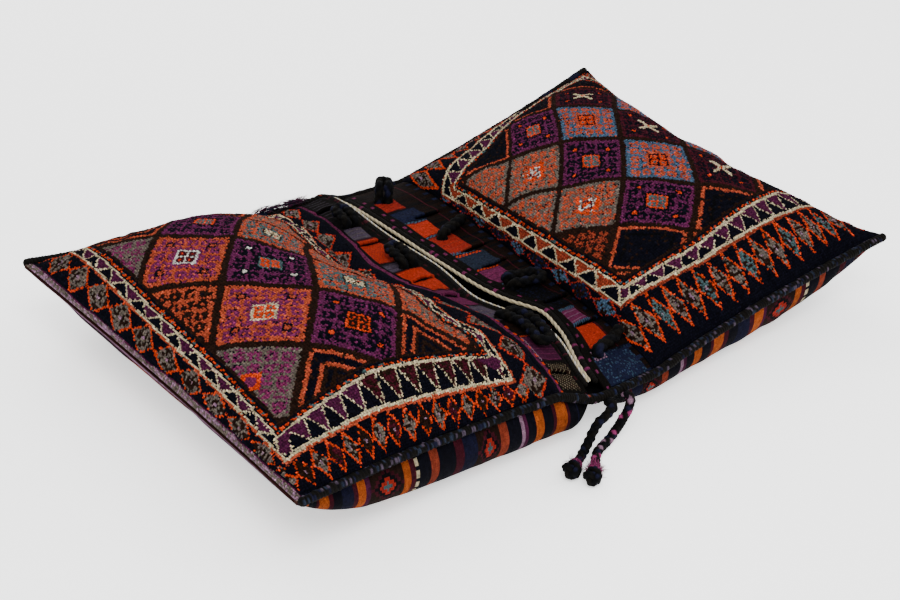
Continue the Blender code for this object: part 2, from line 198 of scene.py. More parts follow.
@dataclass(frozen=True)
class Finish:
    """A fibre's surface. fibre is the size of its grain, and rib is ribs for each step of the weave's UV.

    The depths are in metres. mottle is how far the dye varies from fibre to fibre.
    """

    name: str
    roughness: float
    sheen: float
    fibre: float
    fibre_depth: float
    mottle: float
    specular: float
    rib: float = 0.0
    rib_depth: float = 0.0

    def material(self) -> Material:
        """The material: the mesh's own colours, which are its dyes with any painted shade in them, times a fine noise
        that also raises the fibres, over the ribs.

        Returns:
            The material.
        """
        material = bpy.data.materials.new(self.name)
        material.use_nodes = True
        tree = material.node_tree
        shader = tree.nodes["Principled BSDF"]
        shader.inputs["Roughness"].default_value = self.roughness
        shader.inputs["Sheen Weight"].default_value = self.sheen
        shader.inputs["Specular IOR Level"].default_value = self.specular
        dye = node(tree, "ShaderNodeVertexColor", {"layer_name": "dye"})
        place = node(tree, "ShaderNodeTexCoord", {})
        fibre = node(tree, "ShaderNodeTexNoise", {
            "Scale": 1 / self.fibre, "Detail": 2.0, "Vector": place.outputs["Object"]})
        spread = node(tree, "ShaderNodeMapRange", {
            "From Min": 0.3, "From Max": 0.7, "To Min": 1 - self.mottle, "To Max": 1 + self.mottle,
            "Value": fibre.outputs["Fac"]})
        mixed = node(tree, "ShaderNodeVectorMath", {
            "operation": "SCALE", "Vector": dye.outputs["Color"], "Scale": spread.outputs["Result"]})
        tree.links.new(mixed.outputs["Vector"], shader.inputs["Base Color"])
        last = node(tree, "ShaderNodeBump", {
            "Strength": 0.9, "Distance": self.fibre_depth, "Height": fibre.outputs["Fac"]})
        if self.rib:
            weave = node(tree, "ShaderNodeUVMap", {"uv_map": "weave"})
            wave = node(tree, "ShaderNodeTexWave", {
                "Scale": self.rib, "Distortion": 0.6, "Detail": 1.0, "bands_direction": "X",
                "Vector": weave.outputs["UV"]})
            last = node(tree, "ShaderNodeBump", {
                "Strength": 0.8, "Distance": self.rib_depth, "Height": wave.outputs["Fac"],
                "Normal": last.outputs["Normal"]})
        tree.links.new(last.outputs["Normal"], shader.inputs["Normal"])
        return material


# Hand-knotted wool pile is matt and drinks light. Its yarns are 0.3 mm and are drawn at 1.1 mm to show.
WOOL_PILE = Finish("wool pile", 0.98, 0.0, 0.0011, 0.0007, 0.50, 0.02)
# Weft-faced wool tapestry is matt, with fine ribs where wefts pass over warps. Its yarns are 1.2 mm.
FLAT_WEAVE = Finish("flat weave", 0.96, 0.0, 0.0012, 0.0004, 0.38, 0.03, rib=1.0, rib_depth=0.0006)
# Spun goat hair is coarse and has a faint gloss. Its hairs are 0.1 mm and are drawn at 0.8 mm to show.
GOAT_HAIR = Finish("goat hair", 0.85, 0.0, 0.0008, 0.0008, 0.60, 0.05)
# Twisted cotton cord is pale and dull, with a little nap. Its yarns are 0.9 mm.
COTTON = Finish("cotton", 0.92, 0.05, 0.0009, 0.0003, 0.12, 0.12)


def through(points: Line | Array, at: Array) -> Array:
    """A smooth curve through given (position, value) points: a cubic between each two, with slopes shared.

    Args:
        points: the positions in rising order, each with its value.
        at: where to read the curve.

    Returns:
        The values there.
    """
    where, values = np.array(points, float).T
    slope = np.gradient(values, where)
    at = np.clip(np.asarray(at, float), where[0], where[-1])
    i = np.clip(np.searchsorted(where, at, side="right") - 1, 0, len(where) - 2)
    span = where[i + 1] - where[i]
    t = (at - where[i]) / span
    return (
        (2 * t**3 - 3 * t**2 + 1) * values[i]
        + (t**3 - 2 * t**2 + t) * span * slope[i]
        + (3 * t**2 - 2 * t**3) * values[i + 1]
        + (t**3 - t**2) * span * slope[i + 1]
    )


def between(pair: Pair, across: Array) -> Array:
    """The value at this place across the width, from -1 at the near seam to 1 at the far one."""
    return pair[0] + (pair[1] - pair[0]) * (across + 1) / 2


def smoothstep(low: float, high: float, value: Array) -> Array:
    """0 up to low, 1 from high on, and an even rise between them."""
    t = np.clip((value - low) / (high - low), 0, 1)
    return t * t * (3 - 2 * t)


def unit(vectors: Array) -> Array:
    """The vectors at length 1."""
    return vectors / np.linalg.norm(vectors, axis=-1, keepdims=True).clip(1e-12)


def run_of(path: Array) -> Array:
    """How far along a path each of its points lies."""
    return np.concatenate([[0], np.cumsum(np.linalg.norm(np.diff(path, axis=0), axis=1))])


def shares_of(points: Array, axis: int) -> Array:
    """How far along its line each point of a grid lies, as a share of that line's length.

    Args:
        points: the grid.
        axis: the one that the lines run along.

    Returns:
        A share from 0 to 1 for each point.
    """
    step = np.linalg.norm(np.diff(points, axis=axis), axis=-1)
    run = np.insert(np.cumsum(step, axis), 0, 0, axis)
    return run / np.take(run, [-1], axis)


def even_places(lines: Callable[[Array], Array], low: float, high: float, count: int) -> Array:
    """Parameter values that lie at equal distances along a family of lines.

    Args:
        lines: gives the lines' points for an array of parameter values.
        low, high: the first value and the last.
        count: how many steps to take.

    Returns:
        The values from low to high.
    """
    fine = np.linspace(low, high, 4001)
    step = np.linalg.norm(np.diff(lines(fine), axis=0), axis=-1).mean(1)
    run = np.concatenate([[0], np.cumsum(step)])
    return np.interp(np.linspace(0, run[-1], count + 1), run, fine)


def grid_of(first: Array | float, second: Array | float) -> tuple[Array, Array]:
    """Two grids, one with each row's own value and one with each column's."""
    return tuple(np.meshgrid(first, second, indexing="ij"))


def grid_normals(points: Array) -> Array:
    """Unit normals of a grid of points: the cross product of its steps along rows and columns."""
    normal = np.cross(np.gradient(points, axis=0), np.gradient(points, axis=1))
    return normal / np.linalg.norm(normal, axis=-1, keepdims=True).clip(1e-9)


def rough(random: Random, rows: int, columns: int, scale: int) -> Array:
    """Smooth noise of unit size over a grid: random heights at wide steps, eased from one to the next.

    Args:
        random: where the heights come from.
        rows: of the grid.
        columns: of the grid.
        scale: cells across each lump.

    Returns:
        A height for each cell.
    """
    small = random.normal(0, 1, (rows // scale + 3, columns // scale + 3))
    i = np.arange(rows) / scale
    j = np.arange(columns) / scale
    i0, j0 = i.astype(int), j.astype(int)
    fi, fj = (i - i0)[:, None], (j - j0)[None]
    fi, fj = fi * fi * (3 - 2 * fi), fj * fj * (3 - 2 * fj)
    a, b = small[np.ix_(i0, j0)], small[np.ix_(i0 + 1, j0)]
    c, d = small[np.ix_(i0, j0 + 1)], small[np.ix_(i0 + 1, j0 + 1)]
    return (a * (1 - fi) + b * fi) * (1 - fj) + (c * (1 - fi) + d * fi) * fj


@dataclass(frozen=True)
class Pouch:
    """One pouch's form. Pairs hold the value at the near side seam and at the far one.

    Its surfaces take along, which is 0 at the fold, 1 where the pile ends and 2 at the free edge, and across,
    which is -1 at the near seam and 1 at the far one. joint_x and mouth_line give where the pile ends and where
    the mouth cord runs along X, and brow how far along the pile the crown reaches, each for places across the
    width. fall is how steeply it drops to the mouth.
    """

    name: str
    side: int
    fold_height: Pair
    joint_x: Line
    joint_height: Pair
    lip_height: Pair
    mouth_line: Line
    cord: float
    crown: float
    crown_power: Pair
    brow: Line
    fall: Pair
    fold_sag: float
    fold_pull_in: float
    side_pull_in: float
    belly: float
    gathers: float

    @property
    def left(self) -> bool:
        """Whether this is the left pouch."""
        return self.side < 0

    def lip_x(self, across: Array) -> Array:
        """Where the closure panel's free edge runs, behind its cord and its wrapped roll."""
        return through(self.mouth_line, across) + self.side * (self.cord / 2 + MOUTH_ROLL + MOUTH_SEAT + CLEARANCE)

    def plan(self, along: Array, across: Array) -> tuple[Array, Array]:
        """X and Y of the cloth: straight from the fold to the joint and on to the lip, with sides that pull in.

        Args:
            along, across: the places on the cloth.

        Returns:
            X and Y.
        """
        on_pile = np.clip(along, 0, 1)
        on_panel = np.clip(along - 1, 0, 1)
        y = across * (SIDE_EDGE - self.side_pull_in * 4 * on_pile * (1 - on_pile))
        across = y / SIDE_EDGE
        fold = self.side * (LENGTH / 2 - CLEARANCE - self.fold_pull_in * (1 - across**2))
        joint = through(self.joint_x, across)
        return fold + (joint - fold) * on_pile + (self.lip_x(across) - joint) * on_panel, y

    def seam_height(self, along: Array, across: Array) -> Array:
        """The height of the side seams, and of the line between them inside the bag, which sags at the fold.

        Args:
            along, across: the places on the cloth.

        Returns:
            The height.
        """
        fold = between(self.fold_height, across) - self.fold_sag * (1 - across**2)
        joint = between(self.joint_height, across)
        lip = between(self.lip_height, across)
        return fold + (joint - fold) * np.clip(along, 0, 1) + (lip - joint) * np.clip(along - 1, 0, 1)

    def upper(self, along: Array, across: Array) -> Array:
        """The pile face and the closure panel that goes on from it.

        The face domes up from its seams as a superellipse along and across, the panel rises at the joint, and
        cosine folds gather both there.

        Args:
            along, across: the places on the cloth.

        Returns:
            The points.
        """
        x, y = self.plan(along, across)
        on_pile = np.clip(along, 0, 1)
        power_x, power_y = self.crown_power
        to_fold = np.clip(1 - 2 * on_pile, 0, 1)
        to_mouth = np.clip((on_pile - 0.5) / (through(self.brow, y / SIDE_EDGE) - 0.5), 0, 1)
        fall = between(self.fall, y / SIDE_EDGE)
        profile = np.sqrt(1 - to_fold**power_x) * (1 - to_mouth**power_x) ** fall
        dome = profile * np.clip(1 - np.abs(across) ** power_y, 0, None) ** 0.75
        rise = smoothstep(0.75, 1.0, along) * np.sqrt(np.clip(1 - across**4, 0, None))
        fold_wave = 0.5 - 0.5 * np.cos(2 * math.pi * GATHER_FOLDS * (across + 1) / 2)
        near_mouth = smoothstep(0.55, 0.95, along) * (1 - smoothstep(1.0, 1.5, along))
        z = self.seam_height(along, y / SIDE_EDGE) + self.crown * dome + MOUTH_RISE * rise
        z = z - self.gathers * GATHER_DEPTH * fold_wave * near_mouth * np.maximum(dome, 0.4 * rise)
        return np.stack([x, y, z], -1)

    def point(self, along: float, across: float) -> Array:
        """The point of the face or panel at one place."""
        return self.upper(np.float64(along), np.float64(across))

    def underside(self, along: Array, across: Array) -> Array:
        """The flat-woven back, which sags from its seams to the floor, bellies out and rises to the bridge.

        Args:
            along, across: the places on the cloth.

        Returns:
            The points.
        """
        x, y = self.plan(along, across)
        seam = self.seam_height(along, y / SIDE_EDGE) - CLEARANCE
        to_fold = np.clip(1 - along, 0, 1)
        lengthwise = (1 - to_fold**3) ** 0.8 * (1 - smoothstep(1.4, 2.15, along))
        crosswise = np.sqrt(np.clip(1 - np.abs(across) ** 5, 0, None))
        sag = np.minimum(FLOOR_SPREAD * lengthwise * crosswise, 1.0)
        z = seam - (seam - FLAT_WALL) * sag - FLAT_WALL
        y = y + np.sign(across) * self.belly * 4 * sag * (1 - sag)
        return np.stack([x, y, z], -1)

    def even_grid(self, surface: Surface, rows: int, columns: int, low: float = 0.0,
                  high: float = 1.0) -> tuple[Array, Array, Array]:
        """Points on a surface at equal distances along its own lines, read from a fine table of the surface.

        Args:
            surface: upper or underside.
            rows: steps from low to high.
            columns: steps from the near seam to the far one.
            low, high: the first along and the last.

        Returns:
            The points, and the along and across of each.
        """
        ends = (1 - np.cos(np.linspace(0, np.pi, TABLE_STEPS + 1))) / 2
        along, across = low + (high - low) * ends, 2 * ends - 1
        table = shares_of(surface(*grid_of(along, across)), 1)
        share = np.linspace(0, 1, columns + 1)
        wide = np.array([np.interp(share, line, across) for line in table])
        table = shares_of(surface(along[:, None] * np.ones(columns + 1), wide), 0)
        share = np.linspace(0, 1, rows + 1)
        along_at = np.array([np.interp(share, line, along) for line in table.T]).T
        across_at = np.array([np.interp(at, along, line) for at, line in zip(along_at.T, wide.T)]).T
        return surface(along_at, across_at), along_at, across_at

    def seam_points(self, across: int, low: float, high: float, count: int) -> Array:
        """The centre line of the overcasting that closes a side seam.

        Args:
            across: -1 for the near seam, 1 for the far one.
            low, high: the first along and the last.
            count: of points.

        Returns:
            The points.
        """
        along = np.linspace(low, high, count)
        edge = np.full_like(along, across)
        x, y = self.plan(along, edge)
        return np.stack([x, y + across * (SIDE_BINDING / 2 - SEAM_BITE), self.seam_height(along, edge)], -1)

    def lip_points(self, offset: float, reach: float) -> Array:
        """A line beside the closure panel's free edge, which bends where the edge bends.

        Args:
            offset: how far out over the bridge it lies.
            reach: how far across it goes to both sides.

        Returns:
            The points.
        """
        across = np.linspace(-reach, reach, 60)
        line = self.upper(np.full_like(across, 2.0), across)
        line[:, 2] -= FLAT_WALL / 2
        slope = np.gradient(line[:, 0], line[:, 1])
        turn = 1 / np.hypot(slope, 1)
        line[:, 0] -= self.side * offset * turn
        line[:, 1] += self.side * offset * slope * turn
        return line


LEFT = Pouch(
    name="left",
    side=-1,
    fold_height=(0.0956, 0.1075),
    joint_x=((-1.0, -0.112), (-0.8, -0.098), (-0.6, -0.087), (-0.4, -0.085), (-0.2, -0.093), (0.0, -0.110),
             (0.2, -0.118), (0.4, -0.104), (0.6, -0.090), (1.0, -0.075)),
    joint_height=(0.080, 0.056),
    lip_height=(0.054, 0.058),
    mouth_line=((-1.04, -0.049), (-0.90, -0.0425), (-0.57, -0.014), (-0.22, -0.042), (0.08, -0.032),
                (0.45, -0.034), (0.85, -0.020), (1.04, -0.014)),
    cord=WHITE_CORD,
    crown=0.102,
    crown_power=(2.04, 3.15),
    brow=((-1.0, 1.0), (-0.6, 0.97), (-0.2, 0.95), (0.2, 0.93), (1.0, 0.93)),
    fall=(0.75, 1.10),
    fold_sag=0.010,
    fold_pull_in=0.012,
    side_pull_in=0.008,
    belly=0.016,
    gathers=1.0,
)

RIGHT = Pouch(
    name="right",
    side=1,
    fold_height=(0.106, 0.132),
    joint_x=((-1.0, 0.053), (1.0, 0.123)),
    joint_height=(0.050, 0.039),
    lip_height=(0.051, 0.044),
    mouth_line=((-1.04, -0.043), (-0.90, -0.036), (-0.60, 0.002), (-0.44, 0.012), (-0.26, -0.006),
                (0.15, -0.013), (0.45, -0.011), (0.77, -0.006), (1.04, 0.002)),
    cord=CREAM_CORD,
    crown=0.101,
    crown_power=(2.17, 2.57),
    brow=((-1.0, 1.0), (1.0, 1.0)),
    fall=(0.50, 0.50),
    fold_sag=0.030,
    fold_pull_in=0.042,
    side_pull_in=0.008,
    belly=0.006,
    gathers=0.35,
)


def linked(name: str, points: Array, faces: Array | list) -> Piece:
    """A smooth mesh object linked to the scene.

    Args:
        name: the piece's name.
        points: one in a row.
        faces: an array of faces of one size, or a list of faces.

    Returns:
        The object.
    """
    mesh = bpy.data.meshes.new(name)
    if isinstance(faces, np.ndarray):
        size = faces.shape[1]
        mesh.vertices.add(len(points))
        mesh.vertices.foreach_set("co", np.ascontiguousarray(points, np.float32).ravel())
        mesh.loops.add(faces.size)
        mesh.loops.foreach_set("vertex_index", np.ascontiguousarray(faces, np.int32).ravel())
        mesh.polygons.add(len(faces))
        mesh.polygons.foreach_set("loop_start", np.arange(0, faces.size, size, dtype=np.int32))
        mesh.update(calc_edges=True)
    else:
        mesh.from_pydata(points.tolist(), [], faces)
    mesh.polygons.foreach_set("use_smooth", np.ones(len(mesh.polygons), bool))
    obj = bpy.data.objects.new(name, mesh)
    bpy.context.scene.collection.objects.link(obj)
    return obj


def dress(obj: Piece, colours: Array, uv: Array, material: Material) -> None:
    """Stores a colour, the dye with any painted shade, and a UV for every face corner, and gives the object its
    material.

    Args:
        obj: the piece.
        colours: linear, one for each corner, with any painted shade already in them.
        uv: one for each corner, in steps of the weave.
        material: the finish.
    """
    mesh = obj.data
    rgba = np.ones((len(mesh.loops), 4), np.float32)
    rgba[:, :3] = colours
    # The dye attribute holds the dyes with the painted shade of the knots, the cords' grooves and the cloth's inner
    # side.
    mesh.color_attributes.new("dye", "FLOAT_COLOR", "CORNER").data.foreach_set("color", rgba.ravel())
    layer = mesh.uv_layers.new(name="weave")
    layer.uv.foreach_set("vector", np.ascontiguousarray(uv, np.float32).ravel())
    mesh.materials.append(material)


def grid_quads(rows: int, columns: int, flip: bool) -> Array:
    """Quads of a grid, one row of cells after another.

    Args:
        rows, columns: of cells.
        flip: whether the quads are turned over.

    Returns:
        Four point numbers for each cell.
    """
    index = np.arange((rows + 1) * (columns + 1)).reshape(rows + 1, columns + 1)
    quads = np.stack([index[:-1, :-1], index[1:, :-1], index[1:, 1:], index[:-1, 1:]], -1).reshape(-1, 4)
    return quads[:, ::-1] if flip else quads


def faces_up(points: Array) -> bool:
    """Whether a grid's quads already face up on the whole."""
    return grid_normals(points)[..., 2].mean() > 0


def corners_of(rows: int, columns: int) -> tuple[Array, Array]:
    """The row and the column number of each point of a grid with this many cells."""
    return grid_of(np.arange(rows + 1), np.arange(columns + 1))


def inward(rows: int, columns: int, reach: float) -> Array:
    """How far in from the grid's rim each point lies, from 0 on it to 1 this many steps in and more.

    Args:
        rows, columns: of cells.
        reach: steps from 0 to 1.

    Returns:
        A share for each point.
    """
    i, j = corners_of(rows, columns)
    return np.clip(np.minimum(np.minimum(i, rows - i), np.minimum(j, columns - j)) / reach, 0, 1)


def thick_cloth(name: str, points: Array, thickness: float, cells: Array, shade: Array, uv: Array, flip: bool,
                material: Material) -> Piece:
    """A closed cloth: a fine outer side, an inner side with fewer faces along its normals, and rims between them. The
    inner side is painted in shade at 0.6 of its cells' dyes, and the rims in deeper shade at 0.35 of their mean.

    Args:
        name: the piece's name.
        points: the outer side's grid. Its cell counts are multiples of LINING_STEP.
        thickness: from the outer side to the inner one.
        cells: a colour for each cell.
        shade: a factor for each point, multiplied into the outer side's dyes: painted shade and highlight, where
            there is any.
        uv: one for each point.
        flip: whether the quads are turned over.
        material: the finish.

    Returns:
        The object.
    """
    rows, columns = points.shape[0] - 1, points.shape[1] - 1
    step = LINING_STEP
    normal = grid_normals(points) * (-1 if flip else 1)
    inner = (points - normal * thickness)[::step, ::step]
    quads = grid_quads(rows, columns, flip)
    inner_quads = grid_quads(rows // step, columns // step, not flip) + points[..., 0].size
    index = np.arange(points[..., 0].size).reshape(rows + 1, columns + 1)
    inner_index = np.arange(inner[..., 0].size).reshape(inner.shape[:2]) + points[..., 0].size
    rims = []
    for fine, coarse, turned in (
        (index[0], inner_index[0], False),
        (index[-1], inner_index[-1], True),
        (index[:, 0], inner_index[:, 0], True),
        (index[:, -1], inner_index[:, -1], False),
    ):
        for k in range(len(coarse) - 1):
            ring = [*fine[k * step : (k + 1) * step + 1], coarse[k + 1], coarse[k]]
            rims.append([int(v) for v in (ring[::-1] if turned ^ flip else ring)])
    faces = [*quads.tolist(), *inner_quads.tolist(), *rims]
    obj = linked(name, np.concatenate([points.reshape(-1, 3), inner.reshape(-1, 3)]), faces)
    # The outer side: each cell's dye times the shade factors of its corners, which on the pile faces are painted
    # shade in the knots' grooves and a painted highlight on their tips.
    outer_dye_with_painted_shade = cells.reshape(-1, 3)[:, None] * shade.reshape(-1)[quads][..., None]
    # The inner side, which faces into the bag, has its cells' dyes painted into shade at 0.6.
    inner_dye_with_painted_shade = np.repeat(cells[step // 2 :: step, step // 2 :: step].reshape(-1, 3) * 0.6, 4, 0)
    rest = len(obj.data.loops) - quads.size
    # The rims, between the two sides, have the cells' mean dye painted into deep shade at 0.35.
    rim_dye_with_painted_shade = np.tile(cells.reshape(-1, 3).mean(0) * 0.35, (rest - len(inner_dye_with_painted_shade), 1))
    corner_uv = np.concatenate([uv.reshape(-1, 2)[quads].reshape(-1, 2), np.zeros((rest, 2))])
    dress(obj, np.concatenate([outer_dye_with_painted_shade.reshape(-1, 3), inner_dye_with_painted_shade, rim_dye_with_painted_shade]), corner_uv, material)
    return obj


class Middle(Enum):
    """The figure in the middle of a medallion."""

    PLAIN = 0
    SQUARES = 1
    FLOWER = 2
    CROSS = 3
    SMALL = 4


@dataclass(frozen=True)
class Medallion:
    """One diamond of the field: its ground, its hooks, its middle, its dots and how far its wools are mixed."""

    ground: Dye
    hooks: Dye
    middle: Middle = Middle.PLAIN
    middle_rim: Dye = Dye.NAVY
    middle_fill: Dye = Dye.ORANGE
    dots: Dye | None = None
    heather: float = 0.12


@dataclass(frozen=True)
class Border:
    """The outer band of one side of a face: a chain of lozenges. middle, reach and outline are shares of it."""

    count: float
    middle: float
    reach: float
    fill: tuple[Dye, ...]
    rim: Dye = Dye.ORANGE
    dot: Dye = Dye.MAUVE
    outline: float = 0.80


def field_of(*rows: tuple[Medallion, ...]) -> dict[Pair, Medallion]:
    """Medallions by their place in the lattice.

    Args:
        rows: half a step apart, with three medallions and two in turn.

    Returns:
        Each medallion under its (a, b) place.
    """
    places = ((0.5, 1.5, 2.5), (1.0, 2.0))
    return {(k / 2, b): medallion for k, row in enumerate(rows) for b, medallion in zip(places[k % 2], row)}


@dataclass(frozen=True)
class Chart:
    """A face's design in shares of its length (s, from the fold to the mouth) and width (t, near to far).

    outer and inner hold the cream lines of each side as (position, value) points. halves are the chevrons of the
    half diamonds, and triangle_counts how many triangles hang across the width and along the length.
    """

    seed: int
    length: float
    width: float
    outer: dict[str, Line]
    inner: dict[str, Line]
    field: dict[Pair, Medallion]
    halves: tuple[Dye, ...]
    borders: dict[str, Border]
    triangle_counts: Pair


LEFT_CHART = Chart(
    seed=11,
    length=0.440,
    width=0.630,
    outer={
        "fold": ((0.08, 0.065), (0.54, 0.110), (0.89, 0.130)),
        "mouth": ((0.06, 0.850), (0.14, 0.835), (0.20, 0.830), (0.25, 0.795), (0.30, 0.790), (0.40, 0.860),
                  (0.48, 0.900), (0.56, 0.900), (0.65, 0.860), (0.70, 0.835), (0.87, 0.910)),
        "near": ((0.065, 0.082), (0.355, 0.093), (0.835, 0.061)),
        "far": ((0.0, 0.965), (1.0, 0.965)),
    },
    inner={
        "fold": ((0.13, 0.096), (0.54, 0.142), (0.87, 0.165)),
        "mouth": ((0.12, 0.815), (0.20, 0.800), (0.25, 0.765), (0.30, 0.760), (0.40, 0.830), (0.48, 0.865),
                  (0.56, 0.865), (0.65, 0.825), (0.70, 0.800), (0.87, 0.860)),
        "near": ((0.10, 0.132), (0.42, 0.161), (0.83, 0.118)),
        "far": ((0.0, 0.930), (1.0, 0.930)),
    },
    field=field_of(
        (
            Medallion(Dye.MAGENTA, Dye.TAUPE, heather=0.22),
            Medallion(Dye.BROWN, Dye.SALMON, heather=0.22),
            Medallion(Dye.MAGENTA, Dye.TAUPE, Middle.SMALL, Dye.ORANGE, heather=0.16),
        ),
        (
            Medallion(Dye.MAGENTA, Dye.SALMON, Middle.SQUARES, Dye.WHITE, Dye.MAROON, Dye.SALMON, 0.16),
            Medallion(Dye.MAGENTA, Dye.SALMON, Middle.SQUARES, Dye.CREAM, Dye.ORANGE, Dye.SALMON, 0.16),
        ),
        (
            Medallion(Dye.NAVY, Dye.GRAPE, Middle.SQUARES, Dye.ORANGE, Dye.TEAL),
            Medallion(Dye.NAVY, Dye.GRAPE, Middle.SQUARES, Dye.TEAL, Dye.ORANGE, Dye.WHITE),
            Medallion(Dye.NAVY, Dye.GRAPE, Middle.SQUARES, Dye.ORANGE, Dye.BROWN, Dye.ORANGE),
        ),
        (Medallion(Dye.TEAL, Dye.SALMON, Middle.SQUARES, Dye.BROWN, Dye.CREAM, heather=0.20),) * 2,
        (Medallion(Dye.TAUPE, Dye.SALMON, heather=0.20),) * 3,
    ),
    halves=dyes_of("SALMON NAVY NAVY SALMON BROWN NAVY BROWN NAVY"),
    borders={
        "fold": Border(11.4, 0.60, 0.42, (Dye.TAUPE,), outline=0.87),
        "near": Border(19, 0.52, 0.40, dyes_of("TAUPE BROWN TAUPE MAROON"), outline=0.78),
        "mouth": Border(11, 0.50, 0.40, (Dye.TAUPE,), Dye.SCARLET, outline=0.84),
        "far": Border(14, 0.50, 0.44, (Dye.TAUPE,)),
    },
    triangle_counts=(14.3, 16.4),
)

RIGHT_CHART = Chart(
    seed=23,
    length=0.440,
    width=0.620,
    outer={
        "fold": ((0.0, 0.055), (1.0, 0.055)),
        "mouth": ((0.16, 0.930), (0.5, 0.950), (0.86, 0.975)),
        "near": ((0.145, 0.154), (0.63, 0.143), (0.93, 0.164)),
        "far": ((0.06, 0.975), (0.41, 0.955), (0.76, 0.870), (1.0, 0.800)),
    },
    inner={
        "fold": ((0.0, 0.085), (1.0, 0.085)),
        "mouth": ((0.18, 0.885), (0.5, 0.912), (0.78, 0.935)),
        "near": ((0.165, 0.218), (0.595, 0.176), (0.885, 0.186)),
        "far": ((0.06, 0.955), (0.27, 0.948), (0.42, 0.932), (0.58, 0.868), (0.73, 0.822), (1.0, 0.760)),
    },
    field=field_of(
        (Medallion(Dye.SALMON, Dye.TAUPE, heather=0.20),) * 2 + (Medallion(Dye.RUST, Dye.BROWN, heather=0.20),),
        (Medallion(Dye.SALMON, Dye.TAUPE, Middle.FLOWER, Dye.ORANGE, Dye.WHITE, heather=0.30),) * 2,
        (Medallion(Dye.NAVY, Dye.GRAPE, Middle.SQUARES, Dye.ORANGE, Dye.TEAL, Dye.ORANGE),) * 3,
        (Medallion(Dye.SALMON, Dye.STEEL, Middle.SQUARES, Dye.NAVY, Dye.ORANGE, heather=0.16),) * 2,
        (Medallion(Dye.NAVY, Dye.MAROON, Middle.CROSS, Dye.CREAM, Dye.ORANGE, Dye.ORANGE),) * 3,
        (Medallion(Dye.SALMON, Dye.STEEL, heather=0.25),) * 2,
    ),
    halves=dyes_of("SALMON NAVY NAVY COAL NAVY NAVY"),
    borders={
        "fold": Border(11, 0.50, 0.44, (Dye.TAUPE,)),
        "near": Border(17, 0.58, 0.38, dyes_of("TAUPE TAUPE TEAL"), outline=0.80),
        "mouth": Border(13, 0.55, 0.46, (Dye.STEEL, Dye.INDIGO), Dye.RED, Dye.MAGENTA, 0.88),
        "far": Border(14, 0.50, 0.44, (Dye.TAUPE,)),
    },
    triangle_counts=(15, 15),
)

# The lattice's diamonds, in steps of the lattice: half a diamond, its rim of hooks, and one chevron of a half.
DIAMOND = 0.458
DIAMOND_RIM = 0.024
CHEVRON = 0.046
# A latch hook, in shares of its own square: its outer ring, its heart and its open mouth.
HOOKS_PER_STEP = 6
HOOK_RING = 0.36
HOOK_HEART = 0.11
HOOK_MOUTH = 0.16
# The band inside the outer cream line, and its barber stripe with the lengths of its two colours, in metres.
BAND = 0.0130
STRIPE = (0.0032, 0.0064)
STRIPE_RUN = 0.0042


